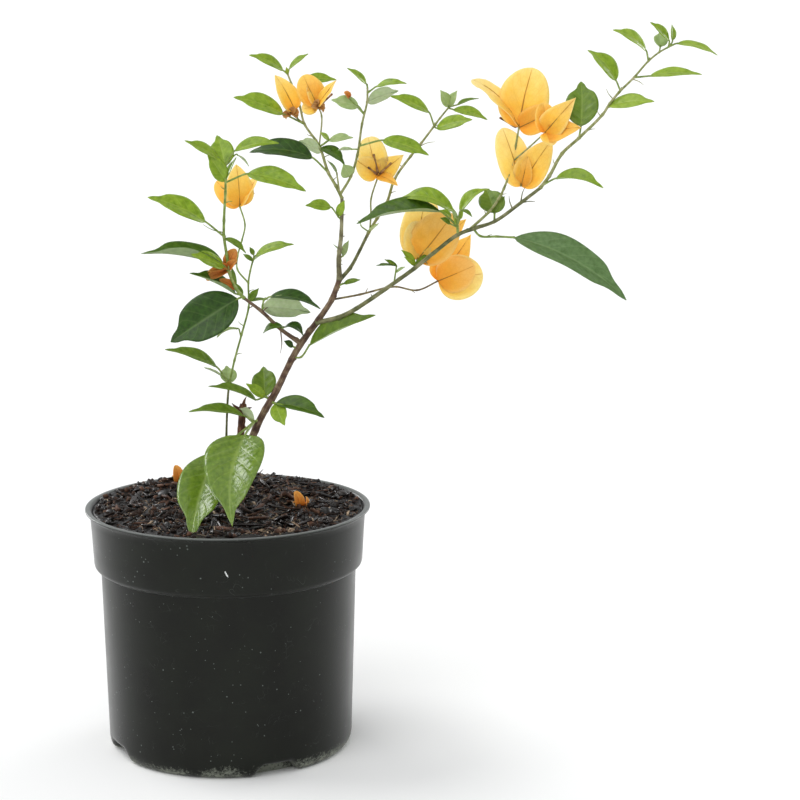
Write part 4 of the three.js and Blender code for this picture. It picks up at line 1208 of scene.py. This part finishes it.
def veins(tree, place, rib, pairs, slope, side, net):
    """The veins of a blade, by its UV map: how far a spot is from the midrib and along it, and
    how strongly the midrib, the side veins and the fine net show there. rib has the inner and
    outer edge of the midrib, side those of a side vein and its strength, and net has the width
    of its meshes in millimetres, its outer edge and its strength."""
    flat = node(tree, "SeparateXYZ", [(place, "UV")])
    off = node(tree, "Math", [(flat, "X"), 0.5], operation="SUBTRACT")
    away = node(tree, "Math", [off], operation="ABSOLUTE")
    midrib = node(tree, "MapRange", [away, *rib, 1.0, 0.0])
    slant = node(tree, "Math", [away, slope, (flat, "Y")], operation="MULTIPLY_ADD")
    count = node(tree, "Math", [slant, pairs], operation="MULTIPLY")
    part = node(tree, "Math", [count, 0.5], operation="PINGPONG")
    branches = node(tree, "MapRange", [part, *side, 0.0])
    mesh = node(tree, "TexVoronoi", {"Vector": (place, "Object"), "Scale": patches(net[0])},
                feature="DISTANCE_TO_EDGE")
    threads = node(tree, "MapRange", [mesh, 0.0, net[1], net[2], 0.0])
    return away, (flat, "Y"), midrib, branches, threads


def leaf_finish(name, wax, upper, under):
    """A leaf's two sides: a waxy upper side with a pale midrib and side veins, and a paler, duller
    underside, with a net of veins 1.6 mm wide and a slight mottle of 3 mm. The veins are sunk into
    the upper side and stand out of the other."""
    pair = []
    for side, colours, roughness, mark in (("upper", upper, wax, 0.26), ("under", under, 0.55, 0.2)):
        material, tree, shader = finish(name + " leaf, " + side + " side",
                                        Specular_IOR_Level=0.9 if roughness < 0.25 else 0.35,
                                        Subsurface_Weight=0.12, Subsurface_Scale=1 * MM,
                                        Subsurface_Radius=(0.6, 1.0, 0.2))
        place = node(tree, "TexCoord")
        _, _, midrib, branches, threads = veins(tree, place, (0.012, 0.045), 7, -0.48,
                                                (0.02, 0.1, 0.45), (1.613, 0.2, 0.16))
        lines = node(tree, "Math", [midrib, branches], operation="MAXIMUM")
        mottle = node(tree, "TexNoise", {"Vector": (place, "Object"), "Scale": patches(3.03),
                                         "Detail": 4})
        tint = node(tree, "ValToRGB", [mottle], [(0.28, colours[0]), (0.72, colours[1])])
        marked = node(tree, "Math", [lines, mark], operation="MULTIPLY")
        drawn = node(tree, "Mix", {"Factor": marked, "A": tint, "B": linear(colours[2])},
                     data_type="RGBA")
        gloss = node(tree, "MapRange", [mottle, 0.0, 1.0, roughness - 0.07, roughness + 0.07])
        relief = node(tree, "Math", [lines, threads], operation="MAXIMUM")
        dress(tree, shader, drawn, relief, 0.55, 0.2, gloss, sunken=side == "upper")
        pair.append(material)
    return pair


# Each tone of leaf: how rough its wax is, the two greens of its upper side and its veins, then
# those of its underside.
LEAVES = dict(
    dark=(0.34, ("#203b06", "#365912", "#76924a"), ("#6f8558", "#8a9c72", "#a9b890")),
    deep=(0.3, ("#37540b", "#537417", "#8fa54c"), ("#7c9160", "#95a876", "#b0bf90")),
    mid=(0.36, ("#516e12", "#6f8a20", "#a0b652"), ("#8a9f66", "#a1b37c", "#bac894")),
    bright=(0.3, ("#6e8b17", "#94af2f", "#bcd066"), ("#93a96a", "#aabd80", "#c2d096")),
    olive=(0.17, ("#557316", "#78942b", "#afbe6c"), ("#8b9a60", "#a2ae78", "#c0ca94")),
    lime=(0.3, ("#7f9b2a", "#a0b742", "#c6d47e"), ("#9fb274", "#b4c488", "#c9d5a0")),
    # The pale tone is partly real and partly painted light: its underside greens are the leaves' own
    # pale undersides, and its pale upper-side greens are a painted sheen for leaves that shine whitish.
    pale=(0.45, ("#8fa763", "#abbd80", "#c6d2a6"), ("#a5b586", "#bbc79e", "#cfd8b8")),
    grey=(0.48, ("#4c6a34", "#678450", "#8fa674"), ("#7c9160", "#95a876", "#b0bf90")),
)


def bract_finish(name, base, main, edge, vein, glow):
    """A papery bract: deeper at its foot, paler at its margin, with a dark midrib and a net of
    veins 3 mm wide, thin enough for light to come through."""
    material, tree, shader = finish(name + " bract", Roughness=0.62, Specular_IOR_Level=0.3,
                                    Subsurface_Weight=glow, Subsurface_Scale=1.2 * MM,
                                    Subsurface_Radius=(1.0, 0.85, 0.6))
    place = node(tree, "TexCoord")
    away, up, midrib, branches, threads = veins(tree, place, (0.006, 0.022), 6, -0.9,
                                                (0.0, 0.06, 0.26), (3.03, 0.09, 0.18))
    drift = node(tree, "TexNoise", {"Vector": (place, "Object"), "Scale": patches(6.25),
                                    "Detail": 4})
    uneven = node(tree, "MapRange", [drift, 0.0, 1.0, -0.18, 0.18])
    high = node(tree, "Math", [up, uneven], operation="ADD")
    tint = node(tree, "ValToRGB", [high], [(0.05, base), (0.4, main), (1.0, edge)])
    margin = node(tree, "MapRange", [away, 0.36, 0.5, 0.0, 0.6])
    rimmed = node(tree, "Mix", {"Factor": margin, "A": tint, "B": linear(edge)},
                  data_type="RGBA")
    fading = node(tree, "MapRange", [up, 0.5, 0.9, 0.85, 0.3])
    rib = node(tree, "Math", [midrib, fading], operation="MULTIPLY")
    thin = node(tree, "Math", [threads, branches], operation="MAXIMUM")
    lines = node(tree, "Math", [thin, rib], operation="MAXIMUM")
    drawn = node(tree, "Mix", {"Factor": lines, "A": rimmed, "B": linear(vein)},
                 data_type="RGBA")
    dress(tree, shader, drawn, lines, 0.5, 0.2)
    return material


BRACTS = dict(
    gold=bract_finish("golden", "#fa9c20", "#ffbe44", "#ffdc8c", "#e0952f", 0.35),
    full_gold=bract_finish("full golden", "#fd9c20", "#ffb840", "#ffd280", "#e5962c", 0.06),
    pale_gold=bract_finish("pale golden", "#fcae3a", "#ffc65c", "#ffe09c", "#e4a64c", 0.45),
    amber=bract_finish("amber", "#f08c1a", "#fdaa34", "#ffcd6c", "#d47e24", 0.35),
    dried=bract_finish("dried", "#7a4a22", "#a56f36", "#c99a5c", "#5f3a1c", 0.1),
    rust=bract_finish("rust-coloured", "#7d3c14", "#b8641f", "#dd9a4e", "#5f3012", 0.2),
    rib=bract_finish("rib of a", "#6b4c1c", "#a5742a", "#e6a53c", "#6a4a20", 0.0),
)


def shoot_finish(name, dark, main, light):
    """A young stem's smooth green or reddish skin, with streaks about 3 mm apart."""
    material, tree, shader = finish(name, Roughness=0.5, Specular_IOR_Level=0.4)
    place = (node(tree, "TexCoord"), "Object")
    streak = node(tree, "TexNoise", {"Vector": place, "Scale": patches(3.333), "Detail": 4})
    tint = node(tree, "ValToRGB", [streak], [(0.34, dark), (0.5, main), (0.68, light)])
    dress(tree, shader, tint, streak, 0.4, 0.2)
    return material


SHOOTS = dict(
    green=shoot_finish("green shoot skin", "#64792f", "#7f9444", "#9cab66"),
    tan=shoot_finish("green and tan shoot skin", "#6d7438", "#8a8f55", "#a9a47c"),
    brown=shoot_finish("brown and olive shoot skin", "#4f4228", "#6d5c36", "#8d8050"),
    tube=shoot_finish("dull flower tube", "#5a3a26", "#8a5f3a", "#b08a52"),
)
TONES = list(LEAVES)
BRACT_TONES = list(BRACTS)
SKINS = list(SHOOTS)

# What each kind of piece is made of, and its slot.
KINDS = dict(
    stems=(list(SHOOTS.values()), "green_bark"),
    leaves=([side for tone in TONES for side in leaf_finish(tone, *LEAVES[tone])], "leaves"),
    bracts=(list(BRACTS.values()), "bracts"),
)
WALLS = dict(leaves=LEAF["wall"], bracts=BRACT["wall"])


def add_on_stalk(parts, nodes, row, kind, draw):
    """A leaf or bract with its stalk, and with ribs that stand out of it where it is large."""
    length, clock, lean = row.blade
    root = base = node_of(nodes, row.node)
    if row.stalk:
        reach, turn, *tilt = row.stalk
        base = root + heading(turn, *(tilt or [lean])) * reach
    leaf = kind == "leaves"
    slot = 2 * TONES.index(row.tone) if leaf else BRACT_TONES.index(row.tone)
    rib, upper = add_blade(parts[kind], base, row, LEAF if leaf else BRACT, slot, draw)
    if row.stalk:
        end = base + heading(clock, lean) * 1.5
        thick = 0.42 + 0.004 * length
        add_tube(parts["stems"], [root, base, end], (thick * 1.25, thick), 6,
                 max(5, round(reach / 1.5)))
    if length <= RIBBED:
        return
    below = [spot - upper * (WALLS[kind] + 0.05) for spot in rib]
    if leaf:
        add_tube(parts[kind], below, (0.3 + 0.003 * length, 0.1), 5, 12, slot + 1)
        return
    for side in (below, [spot + upper * 0.12 for spot in rib]):
        add_tube(parts[kind], side, (0.12 + 0.007 * length, 0.08), 5, 12, BRACT_TONES.index("rib"))


def bulge(t, turn):
    """A flower tube is swollen at its foot and wider at its mouth."""
    return 1 + 0.5 * math.exp(-((t - 0.2) / 0.16) ** 2) + 0.4 * math.exp(-((t - 0.95) / 0.12) ** 2), 0


def add_flower(bm, root, row, inner):
    """A slender closed flower tube, which stands on the inner side of a bract."""
    length, clock, lean = row.blade
    along = heading(clock, lean)
    out = upper_side(along, clock, row.face) * inner
    foot = root + along * 1.5 + out * 1.2
    size = min(12, length * 0.45)
    way = (along + out * 0.3).normalized()
    path = [foot, foot + way * size * 0.5, foot + way * size + along * 0.8]
    add_tube(bm, path, (0.62, 0.55), 8, 12, SKINS.index("tube"), bulge)


def add_dried_bud(bm, spot, size, draw):
    """A dried cluster of six bracts, rolled up tight."""
    for i in range(6):
        blade = [size * 1.5, 60 * i + 40 * draw.random(), 80 * (draw.random() - 0.4)]
        row = Blade(0, 0, blade, 90 * draw.random(), 1.1, 0.2, "dried", 40)
        add_blade(bm, spot, row, BRACT, BRACT_TONES.index("dried"), draw)


def add_leaf_bud(bm, nodes, row):
    """The small pointed bud that sits in the angle of a leaf."""
    root = node_of(nodes, row.node)
    clock = row.stalk[1] if row.stalk else row.blade[1]
    way = heading(clock, row.blade[2]) + (nodes[-1] - nodes[0]).normalized() * 1.4
    tip = root + way.normalized() * 2.6
    add_tube(bm, [root, (root + tip) / 2, tip], (0.62, 0.2), 6, 5)


def grow(parts, start, plan, sides, skin, draw):
    """A shoot and what it carries, put into the piece of its kind: stems, leaves or bracts."""
    nodes = walk(start, plan["steps"])

    def joints(t, turn):
        """A shoot is a little thicker at each node."""
        return 1 + 0.3 * math.exp(-(off_node(nodes, t) / 0.9) ** 2), 0

    stems = parts["stems"]
    rings = max(4, round(length_of(nodes) / 1.1))
    add_tube(stems, nodes, plan["radius"], sides, rings, skin, joints)
    leaves = [Blade(*row) for row in plan.get("leaves", [])]
    bracts = [Blade(*row) for row in plan.get("bracts", [])]
    for kind, blades in (("leaves", leaves), ("bracts", bracts)):
        for row in blades:
            add_on_stalk(parts, nodes, row, kind, draw)
    for at in dict.fromkeys(row.node for row in bracts):
        round_it = [row for row in bracts if row.node == at]
        if len(round_it) > 1:
            for row in round_it[:3]:
                add_flower(stems, node_of(nodes, at), row, plan.get("inner", -1))
    for at, size in plan.get("buds", []):
        add_dried_bud(parts["bracts"], node_of(nodes, at), size, draw)
    for at, size, clock, lean in plan.get("spurs", []):
        add_spike(stems, node_of(nodes, at), size, clock, lean, (0.42, 0.14), skin, 0.55, 16)
    for row in leaves:
        if row.blade[0] >= BUDDED:
            add_leaf_bud(stems, nodes, row)
    for twig in plan.get("twigs", []):
        grow(parts, node_of(nodes, twig["at"]), twig, 8, skin, draw)


def thicken(piece, kind):
    """Gives the blades of a piece their thickness, on the side away from the upper one."""
    wall = piece.modifiers.new("wall", "SOLIDIFY")
    wall.thickness = WALLS[kind] * MM
    wall.offset = -1
    wall.use_even_offset = False
    wall.material_offset = int(kind == "leaves")


for number, (name, plan) in enumerate(SPRAYS.items()):
    draw = random.Random(FOLIAGE_SEED + number)
    parts = {kind: bmesh.new() for kind in KINDS}
    for bm in parts.values():
        bm.loops.layers.uv.new("UVMap")
    grow(parts, node_of(limbs[plan["on"]], plan["at"]), plan, 10,
         SKINS.index(plan.get("shoot", "green")), draw)
    for kind, bm in parts.items():
        if not bm.faces:
            bm.free()
            continue
        finishes, slot = KINDS[kind]
        piece = piece_of(name + "_" + kind, bm, finishes)
        if kind in WALLS:
            thicken(piece, kind)
        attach(piece, "root")
        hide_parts(name)

# Two fallen clusters of bracts, dried and curled, lie on the compost. Each has three bracts, whose
# papery skin has turned from gold to rust.
FALLEN_SEED = 77
bm = bmesh.new()
bm.loops.layers.uv.new("UVMap")
draw = random.Random(FALLEN_SEED)
for (x, y), size, clock in FALLEN:
    base = Vector((x, y, soil_height(x, y) - 0.5))
    for i in range(3):
        blade = [size * (1 - 0.25 * i), clock + 38 * (i % 2) - 30 * (i // 2), 15]
        row = Blade(0, 0, blade, 66 - 50 * i, 0.75, 0.2, "fallen", 40)
        add_blade(bm, base, row, BRACT, 0, draw)
fallen_finish = bract_finish("fallen", "#a34f18", "#d47a2a", "#eda552", "#8a4416", 0.4)
fallen = piece_of("fallen_bracts", bm, [fallen_finish])
thicken(fallen, "bracts")
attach(fallen, "root")

# The box of the finished pieces.
low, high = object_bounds()
